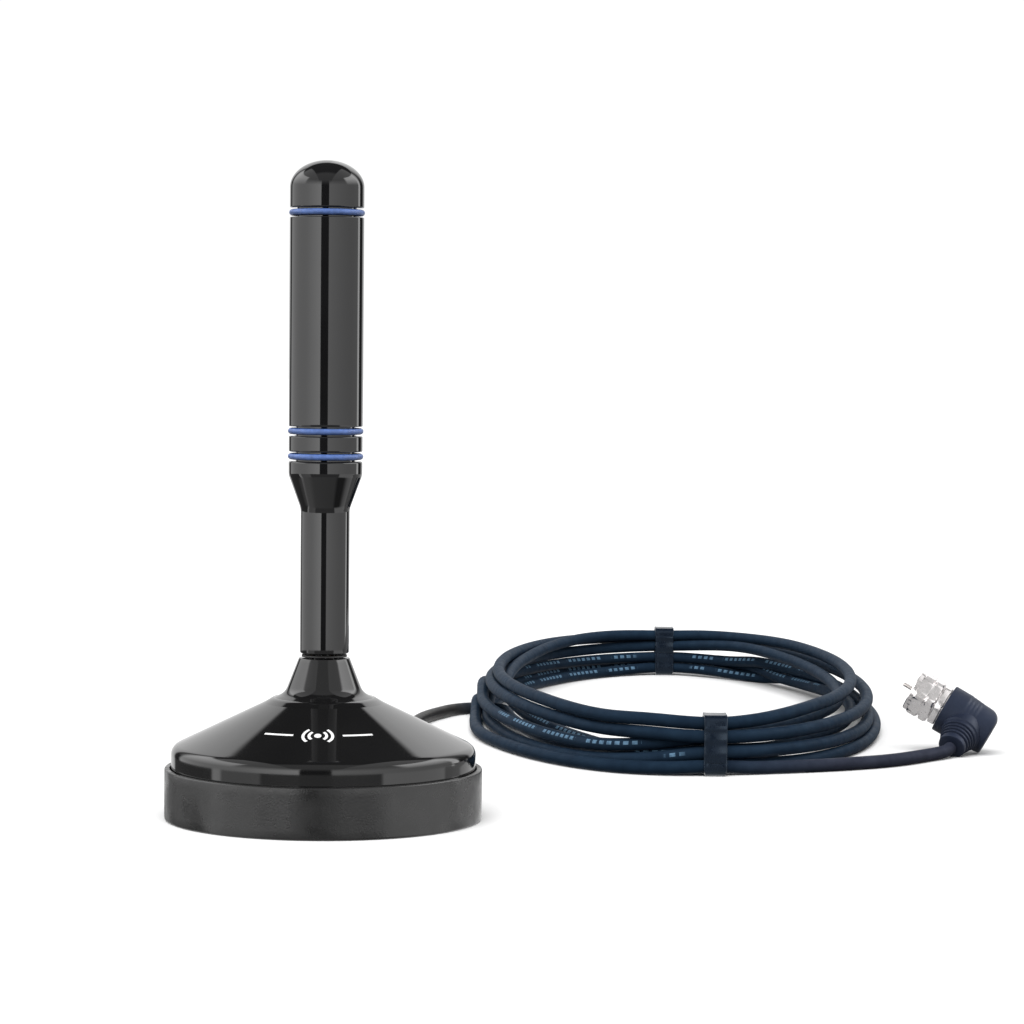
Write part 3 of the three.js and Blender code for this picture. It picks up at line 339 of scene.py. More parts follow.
# ------------------------------------------------------------------ mesh helpers
def make(name, verts, faces, mat, body="base", sharp=38.0, at=None):
    """A mesh in millimetres, shaded smooth but for edges sharper than the limit."""
    me = bpy.data.meshes.new(name)
    v = np.asarray(verts, float)
    if at is not None:
        r, t = at
        v = v @ np.asarray(r).T + np.asarray(t)
    me.from_pydata((v * MM).tolist(), [], [list(map(int, f)) for f in faces])
    bm = bmesh.new(); bm.from_mesh(me)
    bmesh.ops.remove_doubles(bm, verts=bm.verts, dist=1e-7)
    bmesh.ops.recalc_face_normals(bm, faces=bm.faces)
    lim = math.radians(sharp)
    for e in bm.edges:
        e.smooth = not (len(e.link_faces) == 2 and e.calc_face_angle(0) > lim)
    for f in bm.faces:
        f.smooth = True
    bm.to_mesh(me); bm.free()
    me.materials.append(mat)
    o = bpy.data.objects.new(name, me)
    bpy.context.scene.collection.objects.link(o)
    if body:
        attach(o, body)
    return o


def rounded(points, n=8):
    """(r, z) or (r, z, fillet) corners as a polyline with the fillets drawn."""
    out = []
    last = len(points) - 1
    for i, q in enumerate(points):
        x, y = q[0], q[1]
        f = q[2] if len(q) > 2 else 0
        if f <= 0 or i in (0, last):
            out.append((x, y)); continue
        p = np.array((x, y), float)
        a = np.array(points[i - 1][:2], float) - p
        b = np.array(points[i + 1][:2], float) - p
        la, lb = np.linalg.norm(a), np.linalg.norm(b)
        a /= la; b /= lb
        half = math.acos(float(np.clip(a @ b, -1, 1))) / 2
        if half > math.pi / 2 - 1e-3:
            out.append((x, y)); continue
        back = min(f / math.tan(half), la * 0.49, lb * 0.49)
        g = back * math.tan(half)
        c = p + (a + b) / np.linalg.norm(a + b) * g / math.sin(half)
        s, e = p + a * back - c, p + b * back - c
        a0, a1 = math.atan2(s[1], s[0]), math.atan2(e[1], e[0])
        d = (a1 - a0 + math.pi) % (2 * math.pi) - math.pi
        out += [(c[0] + g * math.cos(a0 + d * k / n), c[1] + g * math.sin(a0 + d * k / n)) for k in range(n + 1)]
    return out


def dense(line, step=1.0):
    out = [line[0]]
    for a, b in zip(line[:-1], line[1:]):
        n = max(1, int(math.ceil(math.dist(a, b) / step)))
        out += [(a[0] + (b[0] - a[0]) * k / n, a[1] + (b[1] - a[1]) * k / n) for k in range(1, n + 1)]
    return out


def lathe(name, line, mat, body="base", segs=None, at=None, sharp=38.0, step=1.2):
    segs = segs or ROUND
    line = dense(line, step)
    closed = math.dist(line[0], line[-1]) < 1e-6
    if closed:
        line = line[:-1]
    t = np.linspace(0, 2 * math.pi, segs, endpoint=False)
    verts, rows, faces = [], [], []
    for r, z in line:
        if r < 1e-5:
            rows.append([len(verts)] * segs); verts.append((0, 0, z))
        else:
            rows.append(list(range(len(verts), len(verts) + segs)))
            verts += [(r * math.cos(a), r * math.sin(a), z) for a in t]
    pairs = list(zip(rows[:-1], rows[1:])) + ([(rows[-1], rows[0])] if closed else [])
    for A, B in pairs:
        for i in range(segs):
            j = (i + 1) % segs
            f = []
            for v in (A[i], A[j], B[j], B[i]):
                if v not in f:
                    f.append(v)
            if len(f) > 2:
                faces.append(f)
    return make(name, verts, faces, mat, body, sharp, at)


def show(o, nodes):
    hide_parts(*nodes)
    return o


def turn_to(z, x):
    z = np.array(z, float); z /= np.linalg.norm(z)
    x = np.array(x, float); x -= x @ z * z; x /= np.linalg.norm(x)
    return np.stack([x, np.cross(z, x), z], 1)


# ------------------------------------------------------------------ camera
cam = bpy.data.cameras.new("camera")
cam.sensor_width = 36.0
cam.lens = 117.42
cam.clip_start, cam.clip_end = 0.05, 20.0
cam_o = bpy.data.objects.new("camera", cam)
bpy.context.scene.collection.objects.link(cam_o)
_p, _r = math.radians(2.93), math.radians(0.525)
_v = Vector((0, math.cos(_p), -math.sin(_p)))
_x = Vector((1, 0, 0))
_u = _x.cross(_v)
_x2 = math.cos(_r) * _x + math.sin(_r) * _u
_u2 = -math.sin(_r) * _x + math.cos(_r) * _u
cam_o.matrix_world = Matrix((
    (_x2.x, _u2.x, -_v.x, 0.04143), (_x2.y, _u2.y, -_v.y, -0.740), (_x2.z, _u2.z, -_v.z, 0.1065), (0, 0, 0, 1)))
bpy.context.scene.camera = cam_o

# ------------------------------------------------------------------ the cord
def spline(points, step):
    """A smooth line through the points, sampled evenly."""
    p = np.array(points, float)
    t = np.r_[0, np.cumsum(np.linalg.norm(np.diff(p, axis=0), axis=1) ** 0.5)]
    n = len(p); h = np.diff(t)
    a = np.zeros((n, n)); b = np.zeros((n, 3))
    a[0, 0] = a[-1, -1] = 1
    for i in range(1, n - 1):
        a[i, i - 1], a[i, i], a[i, i + 1] = h[i - 1], 2 * (h[i - 1] + h[i]), h[i]
        b[i] = 6 * ((p[i + 1] - p[i]) / h[i] - (p[i] - p[i - 1]) / h[i - 1])
    m = np.linalg.solve(a, b)
    fine = []
    for i in range(n - 1):
        u = np.linspace(0, 1, 8, endpoint=False)[:, None] * h[i]
        fine.append(p[i] + u * ((p[i + 1] - p[i]) / h[i] - h[i] * (2 * m[i] + m[i + 1]) / 6) + u ** 2 * m[i] / 2 + u ** 3 * (m[i + 1] - m[i]) / (6 * h[i]))
    fine = np.concatenate(fine + [p[-1:]])
    s = np.r_[0, np.cumsum(np.linalg.norm(np.diff(fine, axis=0), axis=1))]
    k = int(round(s[-1] / step)) + 1
    q = np.linspace(0, s[-1], k)
    return np.stack([np.interp(q, s, fine[:, i]) for i in range(3)], 1), q


def frames(line):
    tan = np.gradient(line, axis=0); tan /= np.linalg.norm(tan, axis=1, keepdims=True)
    n = np.cross(tan[0], (0, 0, 1.0)); n /= np.linalg.norm(n)
    out = [n]
    for i in range(1, len(line)):
        n = out[-1] - out[-1] @ tan[i] * tan[i]
        out.append(n / np.linalg.norm(n))
    n = np.array(out)
    return tan, n, np.cross(tan, n)


def tube(name, line, radius, mat, sides=16, body="base"):
    tan, n, b = frames(line)
    a = np.linspace(0, 2 * math.pi, sides, endpoint=False)
    ring = n[:, None] * np.cos(a)[None, :, None] + b[:, None] * np.sin(a)[None, :, None]
    r = radius if np.ndim(radius) else np.full(len(line), radius)
    verts = (line[:, None] + ring * np.asarray(r)[:, None, None]).reshape(-1, 3)
    m = len(line)
    faces = [(i * sides + j, i * sides + (j + 1) % sides, (i + 1) * sides + (j + 1) % sides, (i + 1) * sides + j)
             for i in range(m - 1) for j in range(sides)]
    faces += [list(range(sides))[::-1], list(range((m - 1) * sides, m * sides))]
    return make(name, verts, faces, mat, body, sharp=60), ring


line, along = spline(LEAD + COIL + TAIL, 1.9)
line[:, 2] = np.maximum(line[:, 2], CABLE_R + 0.01)
cable, ring = tube("cable_jacket", line, CABLE_R, CABLE)
length = float(along[-1])
if len(cable.data.vertices) == len(line) * 16:
    lead_end = along[np.linalg.norm(line[: len(line) // 10] - np.array(LEAD[-1]), axis=1).argmin()]
    k = 9 * len(line) // 10
    tail_start = along[k + np.linalg.norm(line[k:] - np.array((100.0, 81.3, 1.7)), axis=1).argmin()]
    zone = np.interp(along, [0, lead_end - 4, lead_end + 14, tail_start - 20, tail_start + 25, length], [0, 0, 1, 1, 2, 2])
    # the side that carries the marks faces the front and a little up
    tan, n, b = frames(line)
    look = np.array((0.0, -1.0, 0.35)); look = look - (tan @ look)[:, None] * tan
    look /= np.linalg.norm(look, axis=1, keepdims=True)
    side = np.arccos(np.clip((ring * look[:, None]).sum(-1), -1, 1)) * CABLE_R
    up = np.cross(tan, look)
    side *= np.sign((ring * up[:, None]).sum(-1))
    co = line[:, :2]
    front = (co[:, 1] < 150) & (line[:, 2] < 7.6) & (line[:, 2] > 4.2) & (co[:, 0] < 84)
    rear = (co[:, 1] > 250) & (line[:, 2] < 7.5) & (((co[:, 0] > 45) & (co[:, 0] < 80)) | ((co[:, 0] > 100) & (co[:, 0] < 140)))
    marked = ((front | rear) & (along > lead_end) & (along < tail_start)).astype(float)
    for key, val in (("zone", np.repeat(zone, 16)), ("along", np.repeat(along, 16)), ("beside", side.reshape(-1)), ("marked", np.repeat(marked, 16))):
        at = cable.data.attributes.new(key, "FLOAT", "POINT")
        at.data.foreach_set("value", val.astype(np.float32))
show(cable, ["cable_lead", "cable_coil", "cable_tail"])


# ties: a flat strap round the bundle, with soft edges and its free end lapped over
def strap(name, x, y, width, lap_z):
    half, top, rc = 4.6, 15.1, 2.1
    pts = []
    for cy, cz, a0 in ((half - rc, rc, -90), (half - rc, top - rc, 0), (-half + rc, top - rc, 90), (-half + rc, rc, 180)):
        pts += [(cy + rc * math.cos(math.radians(a0 + k * 9)), cz + rc * math.sin(math.radians(a0 + k * 9))) for k in range(11)]
    loop = dense(pts + [pts[0]], 0.5)[:-1]
    loop = np.array(loop)
    # drawn in a little between the strands
    side = np.abs(loop[:, 0]) > half - 0.05
    dip = 0.10 * np.cos(2 * math.pi * (loop[:, 1] - 2.55) / 3.32) - 0.10
    loop[side, 0] += np.sign(loop[side, 0]) * dip[side]
    tan = np.roll(loop, -1, 0) - np.roll(loop, 1, 0); tan /= np.linalg.norm(tan, axis=1, keepdims=True)
    out = np.stack([tan[:, 1], -tan[:, 0]], 1)
    w = width / 2
    t = 0.72
    sec = rounded([(0, 0), (w, 0, 0.16), (w, -t, 0.16), (-w, -t, 0.16), (-w, 0, 0.16), (0, 0)], 4)[:-1]
    sec = np.array(dense(sec + [sec[0]], 0.7)[:-1])
    lift = np.where(np.abs(sec[:, 0]) > w - 0.45, 0.07, 0.0) * (sec[:, 1] > -0.3)
    m, c = len(loop), len(sec)
    # narrower where it turns under
    squeeze = np.interp(loop[:, 1], [0, 1.6, 15.1], [0.84, 1.0, 1.0])
    verts = np.zeros((m, c, 3))
    for i in range(m):
        o = out[i]
        verts[i, :, 0] = x + sec[:, 0] * squeeze[i]
        verts[i, :, 1] = y + loop[i, 0] + o[0] * (sec[:, 1] + lift)
        verts[i, :, 2] = loop[i, 1] + o[1] * (sec[:, 1] + lift)
    verts = verts.reshape(-1, 3); verts[:, 2] = np.maximum(verts[:, 2], 0.02)
    faces = [(i * c + j, i * c + (j + 1) % c, ((i + 1) % m) * c + (j + 1) % c, ((i + 1) % m) * c + j) for i in range(m) for j in range(c)]
    o1 = make(name, verts, faces, TIE, sharp=50)
    # the lapped end, on the side seen from the front
    z = np.linspace(lap_z, 12.6, 16)
    prof = rounded([(-w + 0.2, -0.25), (-w + 0.2, 0.28, 0.1), (w - 0.2, 0.28, 0.1), (w - 0.2, -0.25)], 3)
    c2 = len(prof)
    v2 = []
    for k, zz in enumerate(z):
        lift2 = 0.0 if 0 < k < 15 else -0.18
        dd = 0.10 * math.cos(2 * math.pi * (zz - 2.55) / 3.32) - 0.10
        v2 += [(x + a, y - half - dd - (b + lift2), zz) for a, b in prof]
    f2 = [(i * c2 + j, i * c2 + (j + 1) % c2, (i + 1) * c2 + (j + 1) % c2, (i + 1) * c2 + j) for i in range(15) for j in range(c2)]
    f2 += [list(range(c2)), list(range(15 * c2, 16 * c2))[::-1]]
    o2 = make(name + "_lap", v2, f2, TIE, sharp=50)
    return o1, o2


tie_f, tie_f2 = strap("tie_front_strap", *TIES["front"], 5.7, 3.4)
tie_b, tie_b2 = strap("tie_back_strap", *TIES["back"], 5.9, 7.3)
show(tie_f, ["tie_front"])
show(tie_b, ["tie_back"])

# strain relief at the base: a flange and a tapered, ringed sleeve
gland_at = (turn_to((math.cos(GLAND_AZ), math.sin(GLAND_AZ), 0), (0, 0, -1)), (0, 0, GLAND_Z))
sleeve = [(0, 30.0), (2.2, 30.0), (2.2, 34.35), (3.0, 34.35, 0.2), (3.0, 36.2, 0.35), (2.62, 36.7, 0.2)]
for k in range(6):
    a = 38.0 + k * 1.75
    r = 2.56 - 0.075 * k
    sleeve += [(r, a, 0.12), (r - 0.34, a + 0.3, 0.1), (r - 0.36, a + 0.75, 0.1), (r - 0.06, a + 1.0, 0.12)]
sleeve += [(1.98, 48.9, 0.15), (1.72, 49.0), (0, 49.0)]
gland = lathe("strain_relief", rounded(sleeve, 3), GLANDM, segs=48, at=gland_at, step=2.0)
show(gland, ["cable_gland"])

# ------------------------------------------------------------------ base
boot = lathe("boot_cup", rounded([
    (0, 0), (35.3, 0, 0.6), (35.3, 11.4, 0.38), (34.12, 11.4, 0.22), (34.12, 1.2, 0.4), (0, 1.2)], 6), BOOT, step=1.5)
show(boot, ["rubber_boot"])


def arc(cx, cz, r, a0, a1, n):
    return [(cx + r * math.cos(math.radians(a0 + (a1 - a0) * i / n)), cz + r * math.sin(math.radians(a0 + (a1 - a0) * i / n))) for i in range(n + 1)]


CONE = math.radians(25.8)
APEX = 32.3
_t = math.tan(CONE)
_corner = APEX - 33.85 * _t
_tan = 2.5 * math.tan((math.pi / 2 - CONE) / 2)
shell = [(33.85, 1.6)] + arc(33.85 - 2.5, _corner - _tan, 2.5, 0, 90 - 25.8, 14)
_slope = math.atan(0.391)
_rj = (5.62 + 0.391 * (35.85 - APEX)) / (1 - 0.391 * _t)
_zj = APEX - _rj * _t
_turn = math.pi / 2 - _slope - CONE
_back = 3.5 * math.tan(_turn / 2)
_p0 = (_rj + _back * math.cos(CONE), _zj - _back * math.sin(CONE))
_fc = (_p0[0] + 3.5 * math.sin(CONE), _p0[1] + 3.5 * math.cos(CONE))
_a0 = 270 - 25.8
shell += arc(_fc[0], _fc[1], 3.5, _a0, _a0 - math.degrees(_turn), 14)
shell += rounded([shell[-1], (5.62, 35.85, 0.22), (2.7, 35.85)], 5)[1:]
shell += [(2.7, 27.0), (11.4, 27.0), (31.0, 15.4), (31.85, 14.6), (31.85, 1.6), (33.85, 1.6)]
dome = lathe("base_dome", shell, SHELL, step=0.8)
show(dome, ["base_shell"])


def on_cone(w, s, lift, r0=23.2):
    """A point of the printed mark: w mm across, s mm up the slope from its middle."""
    r = r0 - s * math.cos(CONE)
    a = w / r0
    z = APEX - r * _t
    r2, z2 = r + lift * math.sin(CONE), z + lift * math.cos(CONE)
    return (r2 * math.sin(a), -r2 * math.cos(a), z2)


def strip(line, width):
    """A flat printed line on the cone, as a thin closed solid."""
    line = np.array(line, float)
    tan = np.gradient(line, axis=0); tan /= np.linalg.norm(tan, axis=1, keepdims=True)
    nrm = np.stack([-tan[:, 1], tan[:, 0]], 1) * width / 2
    verts, faces = [], []
    for p, n in zip(line, nrm):
        for q, lift in ((p + n, 0.045), (p - n, 0.045), (p - n, -0.03), (p + n, -0.03)):
            verts.append(on_cone(q[0], q[1], lift))
    m = len(line)
    for i in range(m - 1):
        for j in range(4):
            faces.append((4 * i + j, 4 * i + (j + 1) % 4, 4 * i + 4 + (j + 1) % 4, 4 * i + 4 + j))
    faces += [(3, 2, 1, 0), (4 * m - 4, 4 * m - 3, 4 * m - 2, 4 * m - 1)]
    return verts, faces


mv, mf = [], []
def add_strip(line, width):
    v, f = strip(line, width)
    k = len(mv)
    mv.extend(v); mf.extend([tuple(i + k for i in q) for q in f])


for r, side in ((1.9, 1), (1.9, -1), (3.2, 1), (3.2, -1)):
    add_strip([(side * r * math.cos(math.radians(a)), r * math.sin(math.radians(a)) * 0.98) for a in np.linspace(-48, 48, 17)], 0.62)
add_strip([(0.78 * math.cos(a) * 0.5, 0.78 * math.sin(a) * 0.5) for a in np.linspace(0, 2 * math.pi, 17)], 0.80)
for side in (1, -1):
    add_strip([(side * x, 0.0) for x in np.linspace(5.4, 12.2, 12)], 0.62)
mark = make("dome_mark", mv, mf, PRINT, sharp=20)

# ------------------------------------------------------------------ stud and mast
def threaded(name, z0, z1, r, pitch, depth, mat, body="base"):
    """A screwed shank with a real helical thread and a chamfered tip."""
    segs, dz = 40, 0.08
    zs = np.arange(z0, z1 + 1e-6, dz)
    verts, faces = [], []
    for z in zs:
        for k in range(segs):
            a = 2 * math.pi * k / segs
            ph = (z / pitch - a / (2 * math.pi)) % 1
            rr = r - depth * abs(2 * ph - 1)
            rr = min(rr, r - max(0, z - (z1 - 0.5)), r - max(0, z0 + 0.3 - z))
            verts.append((rr * math.cos(a), rr * math.sin(a), z))
    n = len(zs)
    for i in range(n - 1):
        for k in range(segs):
            faces.append((i * segs + k, i * segs + (k + 1) % segs, (i + 1) * segs + (k + 1) % segs, (i + 1) * segs + k))
    faces += [list(range(segs))[::-1], list(range((n - 1) * segs, n * segs))]
    return make(name, verts, faces, mat, body, sharp=70)


def hexed(name, rows, mat, body="base", at=None, bore=None, segs=144, turn=0.0, extra=None):
    """A six-sided body: rows are (z, flats, round limit); bore is a (r, z) line back through the middle."""
    verts, faces = [], []
    ang = np.linspace(0, 2 * math.pi, segs, endpoint=False)
    prof = []
    for z, af, clip in rows:
        h = (af / 2) / np.cos((ang - turn + math.pi / 6) % (math.pi / 3) - math.pi / 6) if af else np.full(segs, clip)
        prof.append((np.minimum(h, clip), z))
    for r, z in (bore or []):
        prof.append((np.full(segs, r), z))
    for rr, z in prof:
        verts += [(r * math.cos(a), r * math.sin(a), z) for r, a in zip(rr, ang)]
    m = len(prof)
    for i in range(m if bore else m - 1):
        for k in range(segs):
            j = (i + 1) % m
            faces.append((i * segs + k, i * segs + (k + 1) % segs, j * segs + (k + 1) % segs, j * segs + k))
    if not bore:
        faces += [list(range(segs))[::-1], list(range((m - 1) * segs, m * segs))]
    return make(name, verts, faces, mat, body, sharp=28, at=at)


stud = threaded("stud_thread", 15.0, 42.6, 2.4, 0.8, 0.36, ZINC)
flange = hexed("stud_flange", [(23.0, 8, 4.3), (23.3, 8, 4.62), (26.4, 8, 4.62), (26.7, 8, 4.3)], ZINC)
show(stud, ["stud"])

washer = lathe("mast_gasket", rounded([(4.0, 36.1), (5.04, 36.1, 0.12), (5.04, 36.55, 0.12), (2.9, 36.55, 0.1), (2.9, 36.1, 0.1), (4.0, 36.1)], 4), WASHER, "mast_seat", segs=128)
show(washer, ["mast_washer"])

stem = lathe("mast_lower", rounded([
    (4.0, 36.85), (5.44, 36.85, 0.42), (5.44, 69.0, 5.0), (8.18, 76.5, 3.2), (8.2, 79.55, 0.42), (6.6, 79.55, 0.05), (6.6, 95.0, 0.4),
    (2.2, 95.0), (2.2, 50.6), (4.0, 50.6), (4.0, 36.85)], 12), GLOSS, "mast", step=0.9)
show(stem, ["mast_stem"])
tube_o = lathe("mast_upper", rounded([(7.5, 87.25), (8.22, 87.25, 0.18), (8.22, 133.4, 0.18), (6.9, 133.4, 0.1), (6.9, 87.25, 0.1), (7.5, 87.25)], 6), GLOSS, "mast", step=1.0)
show(tube_o, ["radome_tube"])
collar = lathe("mast_collar", rounded([(7.5, 81.65), (8.2, 81.65, 0.28), (8.2, 85.15, 0.28), (6.9, 85.15, 0.1), (6.9, 81.65, 0.1), (7.5, 81.65)], 8), GLOSS, "mast", step=0.5)
show(collar, ["collar"])
cap_line = rounded([(5.2, 126.6), (6.6, 126.6, 0.4), (6.6, 135.45, 0.05), (8.22, 135.45, 0.3), (8.22, 140.0)], 6)
cap_line += [(8.22 * math.cos(math.pi / 2 * i / 28), 140.0 + 6.0 * math.sin(math.pi / 2 * i / 28)) for i in range(1, 28)] + [(0, 146.0)]
cap_line += [(0, 143.8), (3.2, 143.2), (5.2, 140.5), (5.2, 126.6)]
cap = lathe("mast_cap", cap_line, GLOSS, "mast", step=0.8)
show(cap, ["top_cap"])
for key, z in (("low", 80.6), ("mid", 86.2), ("top", 134.42)):
    ring_line = [(7.67 + 0.7 * math.cos(2 * math.pi * i / 28), z + 0.7 * math.sin(2 * math.pi * i / 28)) for i in range(28)]
    ring_line.append(ring_line[0])
    o = lathe(f"ring_{key}", ring_line, BLUE, "mast", sharp=80)
    show(o, [f"trim_ring_{key}"])

# ------------------------------------------------------------------ right-angle plug
plug_at = (turn_to(MOUTH, RELIEF), PLUG_AT)
body = lathe("plug_body", rounded([
    (0, -6.6), (5.75, -6.6, 0.55), (6.02, -3.0, 0.4), (6.08, -1.3), (6.16, -1.2), (6.18, -0.3), (6.26, -0.2), (6.28, 0.75), (6.36, 0.85),
    (6.38, 1.9), (6.47, 2.0), (6.48, 7.1, 0.28), (4.3, 7.1, 0.12), (4.3, 2.6), (0, 2.6)], 6), MOULD, segs=144, at=plug_at, step=0.6, sharp=55)
# the back is rounded more on the side away from the cable
me = body.data
inv = turn_to(MOUTH, RELIEF)
for v in me.vertices:
    p = (np.array(v.co) / MM - PLUG_AT) @ inv
    h = -0.606 * p[0] + 0.795 * p[1]
    if p[2] < -2.0 and h > 2.9:
        R = 3.1
        lim = -6.6 + R - math.sqrt(max(R * R - min(h - 2.9, R) ** 2, 0.0))
        if p[2] < lim:
            p[2] = lim
            v.co = Vector(((inv @ p) + PLUG_AT) * MM)
show(body, ["plug_elbow"])
rl = [(0, 2.2), (5.25, 2.2), (5.25, 6.35, 0.25), (4.86, 6.6, 0.12), (4.80, 7.05, 0.05)]
for k in range(4):
    a = 7.1 + k * 0.98
    r = 4.80 - 0.30 * k
    rl += [(r, a, 0.08), (r - 0.05, a + 0.46, 0.14), (r - 0.60, a + 0.56, 0.1), (r - 0.62, a + 0.86, 0.1)]
rl += [(3.55, 11.05, 0.1), (3.62, 11.2, 0.18), (3.5, 12.35, 0.3), (1.9, 12.5), (0, 12.5)]
rel_at = (turn_to(RELIEF, MOUTH), PLUG_AT)
relief = lathe("plug_relief", rounded(rl, 4), MOULD, segs=96, at=rel_at, step=0.6, sharp=50)
# the moulding rests on the table on its lowest edge
for o in (body, relief):
    for v in o.data.vertices:
        v.co.z = max(v.co.z, 0.00002)
S = FACE
barrel = lathe("plug_ferrule", rounded([
    (2.6, 3.4), (4.0, 3.4), (4.0, S + 0.28), (5.36, S + 0.28, 0.22), (5.36, S + 2.2, 0.22), (3.5, S + 2.2), (3.5, S + 3.9), (4.4, S + 3.9, 0.1),
    (4.4, S + 4.6, 0.12), (2.6, S + 4.6), (2.6, 3.4)], 5), NICKEL, segs=128, at=plug_at, step=0.6)
show(barrel, ["plug_barrel"])
thread = []
z = S + 8.9
while z > S + 4.2:
    thread += [(4.98, z), (4.72, z - 0.25), (4.72, z - 0.35), (4.98, z - 0.6)]
    z -= 0.79
full = 6.36
nut = hexed("plug_coupling", [
    (S + 2.5, 11, 5.55), (S + 2.62, 11, 5.75), (S + 2.95, 11, full), (S + 4.45, 11, full), (S + 4.65, 11, 5.7), (S + 4.68, 0, 5.25), (S + 5.15, 0, 5.25),
    (S + 5.18, 11, 5.7), (S + 5.38, 11, full), (S + 7.75, 11, full), (S + 8.12, 11, 5.75), (S + 8.22, 0, 5.5), (S + 9.22, 0, 5.5), (S + 9.4, 0, 5.32)],
    NICKEL, "coupling_nut", at=plug_at, bore=[(5.02, S + 9.4), (4.98, S + 9.2)] + thread + [(4.75, S + 3.7), (4.75, S + 3.6), (3.8, S + 3.5), (3.8, S + 2.5)])
show(nut, ["plug_nut"])
ins = lathe("plug_dielectric", rounded([(1.5, 3.0), (2.3, 3.0), (2.3, S + 4.6, 0.12), (0.85, S + 4.6, 0.12), (0.85, 3.0), (1.5, 3.0)], 4), WHITE, segs=64, at=plug_at)
show(ins, ["plug_insulator"])
pin = lathe("plug_centre_pin", rounded([(0, 3.0), (0.5, 3.0), (0.5, S + 12.1, 0.3), (0, S + 12.4)], 6), PINM, segs=40, at=plug_at)
show(pin, ["plug_pin"])

# ------------------------------------------------------------------ inner pieces, shown as the CAD has them
for names, mat in (
    (("magnet_ring",), FERRITE), (("base_plate",), STEEL), (("plate_screw_1", "plate_screw_2", "plate_screw_3", "earth_screw", "stud_washer", "stud_nut"), ZINC),
    (("earth_lug", "contact_lug", "stem_insert", "radiator_rod"), BRASS), (("matching_board",), BOARD), (("coil_former",), NATURAL),
    (("radiator_coil",), COPPER), (("lead_in",), GLANDM),
):
    for n in names:
        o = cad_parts[n]
        o.data.materials.clear()
        o.data.materials.append(mat)

# ------------------------------------------------------------------ floor and light
floor_m, nt, p = nodes_of("floor_paper")
link(nt, ramp(nt, noise(nt, 3.0), [(0.3, (0.90, 0.90, 0.90)), (0.7, (0.92, 0.92, 0.92))]), p.inputs["Base Color"])
p.inputs["Roughness"].default_value = 1.0
p.inputs["Specular IOR Level"].default_value = 0.0
fm = bpy.data.meshes.new("floor")
fm.from_pydata([(-4, -4, 0), (4, -4, 0), (4, 8, 0), (-4, 8, 0)], [], [(0, 1, 2, 3)])
fm.materials.append(floor_m)
floor = bpy.data.objects.new("floor", fm)
bpy.context.scene.collection.objects.link(floor)
floor.visible_glossy = False
floor.visible_diffuse = False
cm = bpy.data.meshes.new("card")
cm.from_pydata([(0.115, 0.05, 0.0), (0.40, 0.05, 0.0), (0.40, 0.45, 0.0), (0.115, 0.45, 0.0)], [], [(0, 1, 2, 3)])
cm.materials.append(floor_m)
card = bpy.data.objects.new("card", cm)
bpy.context.scene.collection.objects.link(card)
card.location.z = -0.0004
card.visible_camera = False
card.visible_diffuse = False
card.visible_shadow = False

world = bpy.data.worlds.new("studio")
bpy.context.scene.world = world
world.use_nodes = True
nt = world.node_tree
for n in list(nt.nodes):
    nt.nodes.remove(n)
out = nt.nodes.new("ShaderNodeOutputWorld")
bg = nt.nodes.new("ShaderNodeBackground")
link(nt, bg.outputs["Background"], out.inputs["Surface"])
tc = nt.nodes.new("ShaderNodeTexCoord")
sep = nt.nodes.new("ShaderNodeSeparateXYZ")
link(nt, tc.outputs["Generated"], sep.inputs["Vector"])
X, Y, Z = sep.outputs
az = math_node(nt, "ARCTAN2", X, math_node(nt, "MULTIPLY", Y, -1.0))
u = math_node(nt, "ADD", math_node(nt, "DIVIDE", az, 2 * math.pi), 0.5)
el = math_node(nt, "MULTIPLY", math_node(nt, "ARCSINE", Z), 180 / math.pi)
PEAK = 8.0


def around(stops):
    """Brightness of the studio by the angle from the camera's side, in degrees, minus to the left."""
    col = ramp(nt, u, [((a + 180) / 360, (v / PEAK,) * 3) for a, v in stops])
    return math_node(nt, "MULTIPLY", col, PEAK)


LOW = around([(-180, 1.0), (-150, 1.0), (-146, 0.05), (-137, 0.05), (-132, 1.3), (-60, 2.2), (-15.5, 3.4), (-14.5, 0.03), (8.5, 0.03),
              (9.5, 2.0), (100, 1.1), (115, 0.9), (117, 3.2), (125, 3.2), (127, 0.05), (145, 0.05), (150, 1.0), (180, 1.0)])
UNDER = around([(-180, 1.0), (-150, 1.0), (-146, 0.1), (-90, 0.2), (-88, 2.4), (-81, 2.4), (-79, 0.9), (-46, 1.1), (-44, 0.36), (47, 0.36), (49, 1.9), (106, 1.5), (108, 0.7), (127, 0.6), (130, 1.0), (180, 1.0)])
BELOW = around([(-180, 0.9), (-62, 0.9), (-44, 0.62), (40, 0.5), (52, 0.12), (74, 0.12), (90, 0.9), (180, 0.9)])
HIGH = around([(-180, 1.35), (-150, 1.35), (-144, 0.1), (-130, 3.2), (-74, 4.0), (-66, 0.95), (64, 0.85), (72, 5.0), (118, 4.5), (134, 0.1), (150, 1.7), (180, 1.7)])


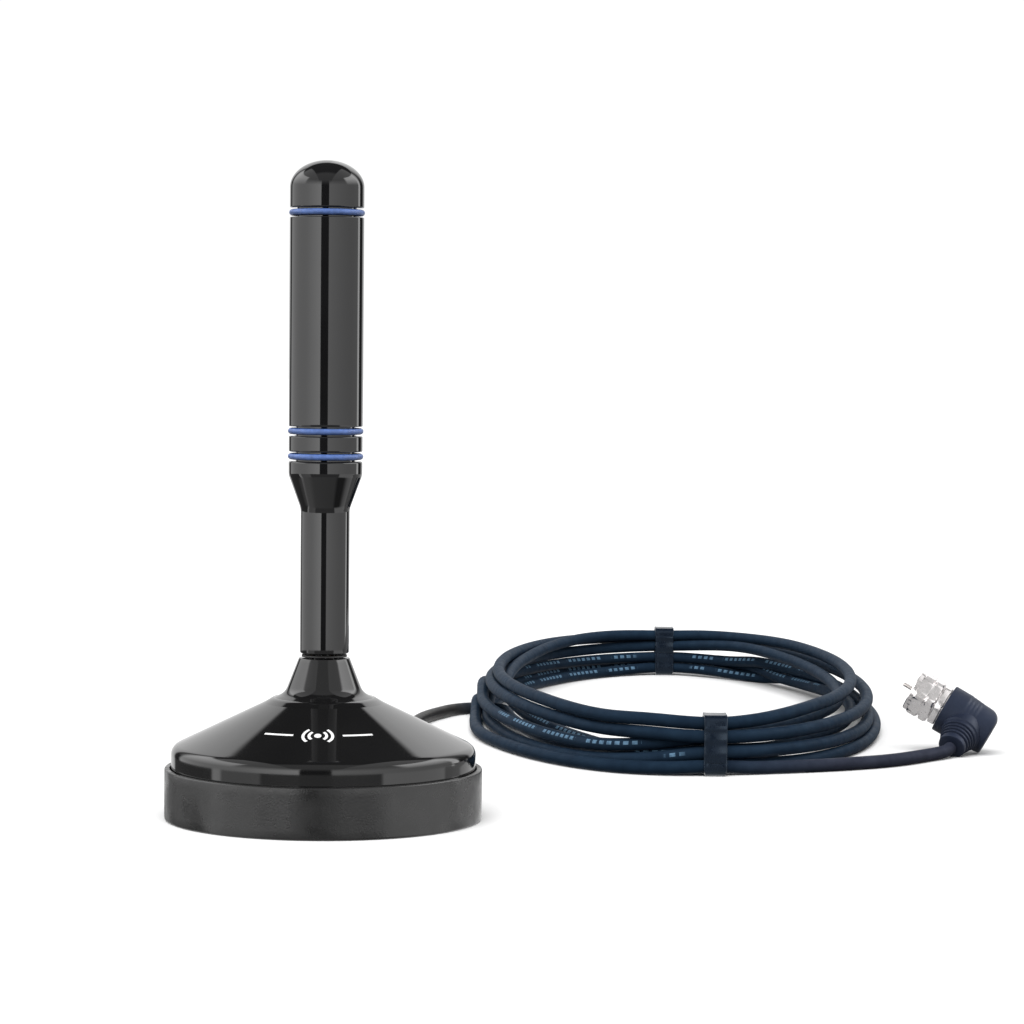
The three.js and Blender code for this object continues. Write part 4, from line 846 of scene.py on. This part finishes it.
def blend(f, a, b):
    m = nt.nodes.new("ShaderNodeMix"); m.data_type = "FLOAT"
    link(nt, f, m.inputs["Factor"])
    for s, v in ((m.inputs["A"], a), (m.inputs["B"], b)):
        if isinstance(v, (int, float)):
            s.default_value = v
        else:
            link(nt, v, s)
    return m.outputs["Result"]


def mixed(a, b, lo, hi):
    return blend(span(nt, el, 0.0, 1.0, lo, hi), a, b)


g = mixed(UNDER, LOW, -6.6, -6.2)
g = mixed(BELOW, g, -34, -26)
# high up: two soft boxes left and right, dim between them on the camera's side and dark behind
left = span(nt, math_node(nt, "MULTIPLY_ADD", Z, 0.16, X), 1.0, 0.0, -0.285, -0.255)
right = span(nt, math_node(nt, "MULTIPLY_ADD", Z, -0.20, X), 0.0, 1.0, 0.145, 0.175)
lit = math_node(nt, "MAXIMUM", left, right)
centre = span(nt, Y, 0.50, 0.035, -0.32, -0.12)
band = blend(lit, centre, HIGH)
top = blend(math_node(nt, "MULTIPLY", lit, span(nt, Y, 1.0, 0.0, 0.36, 0.44)), centre, 0.95)
behind = span(nt, Y, 0.0, 1.0, -0.02, 0.02)
g = mixed(g, blend(behind, band, HIGH), 9.0, 34.0)
g = mixed(g, top, 41.0, 43.5)
lp = nt.nodes.new("ShaderNodeLightPath")
soft = mixed(mixed(0.10, 1.04, -5, -2), 0.50, 18, 50)
m = nt.nodes.new("ShaderNodeMix"); m.data_type = "FLOAT"
link(nt, lp.outputs["Is Glossy Ray"], m.inputs["Factor"])
link(nt, soft, m.inputs["A"]); link(nt, g, m.inputs["B"])
link(nt, m.outputs["Result"], bg.inputs["Color"])
bg.inputs["Strength"].default_value = 1.0

# a broad key light above, a little to the front and left; it casts no mirror image in the gloss
key_data = bpy.data.lights.new("key", "SUN")
key_data.energy = 2.7
key_data.angle = math.radians(55)
key = bpy.data.objects.new("key", key_data)
bpy.context.scene.collection.objects.link(key)
key.rotation_euler = Vector((0.10, 0.52, -0.85)).to_track_quat("-Z", "Y").to_euler()
key.visible_glossy = False

bpy.context.scene.view_settings.view_transform = "Standard"
bpy.context.scene.view_settings.look = "None"
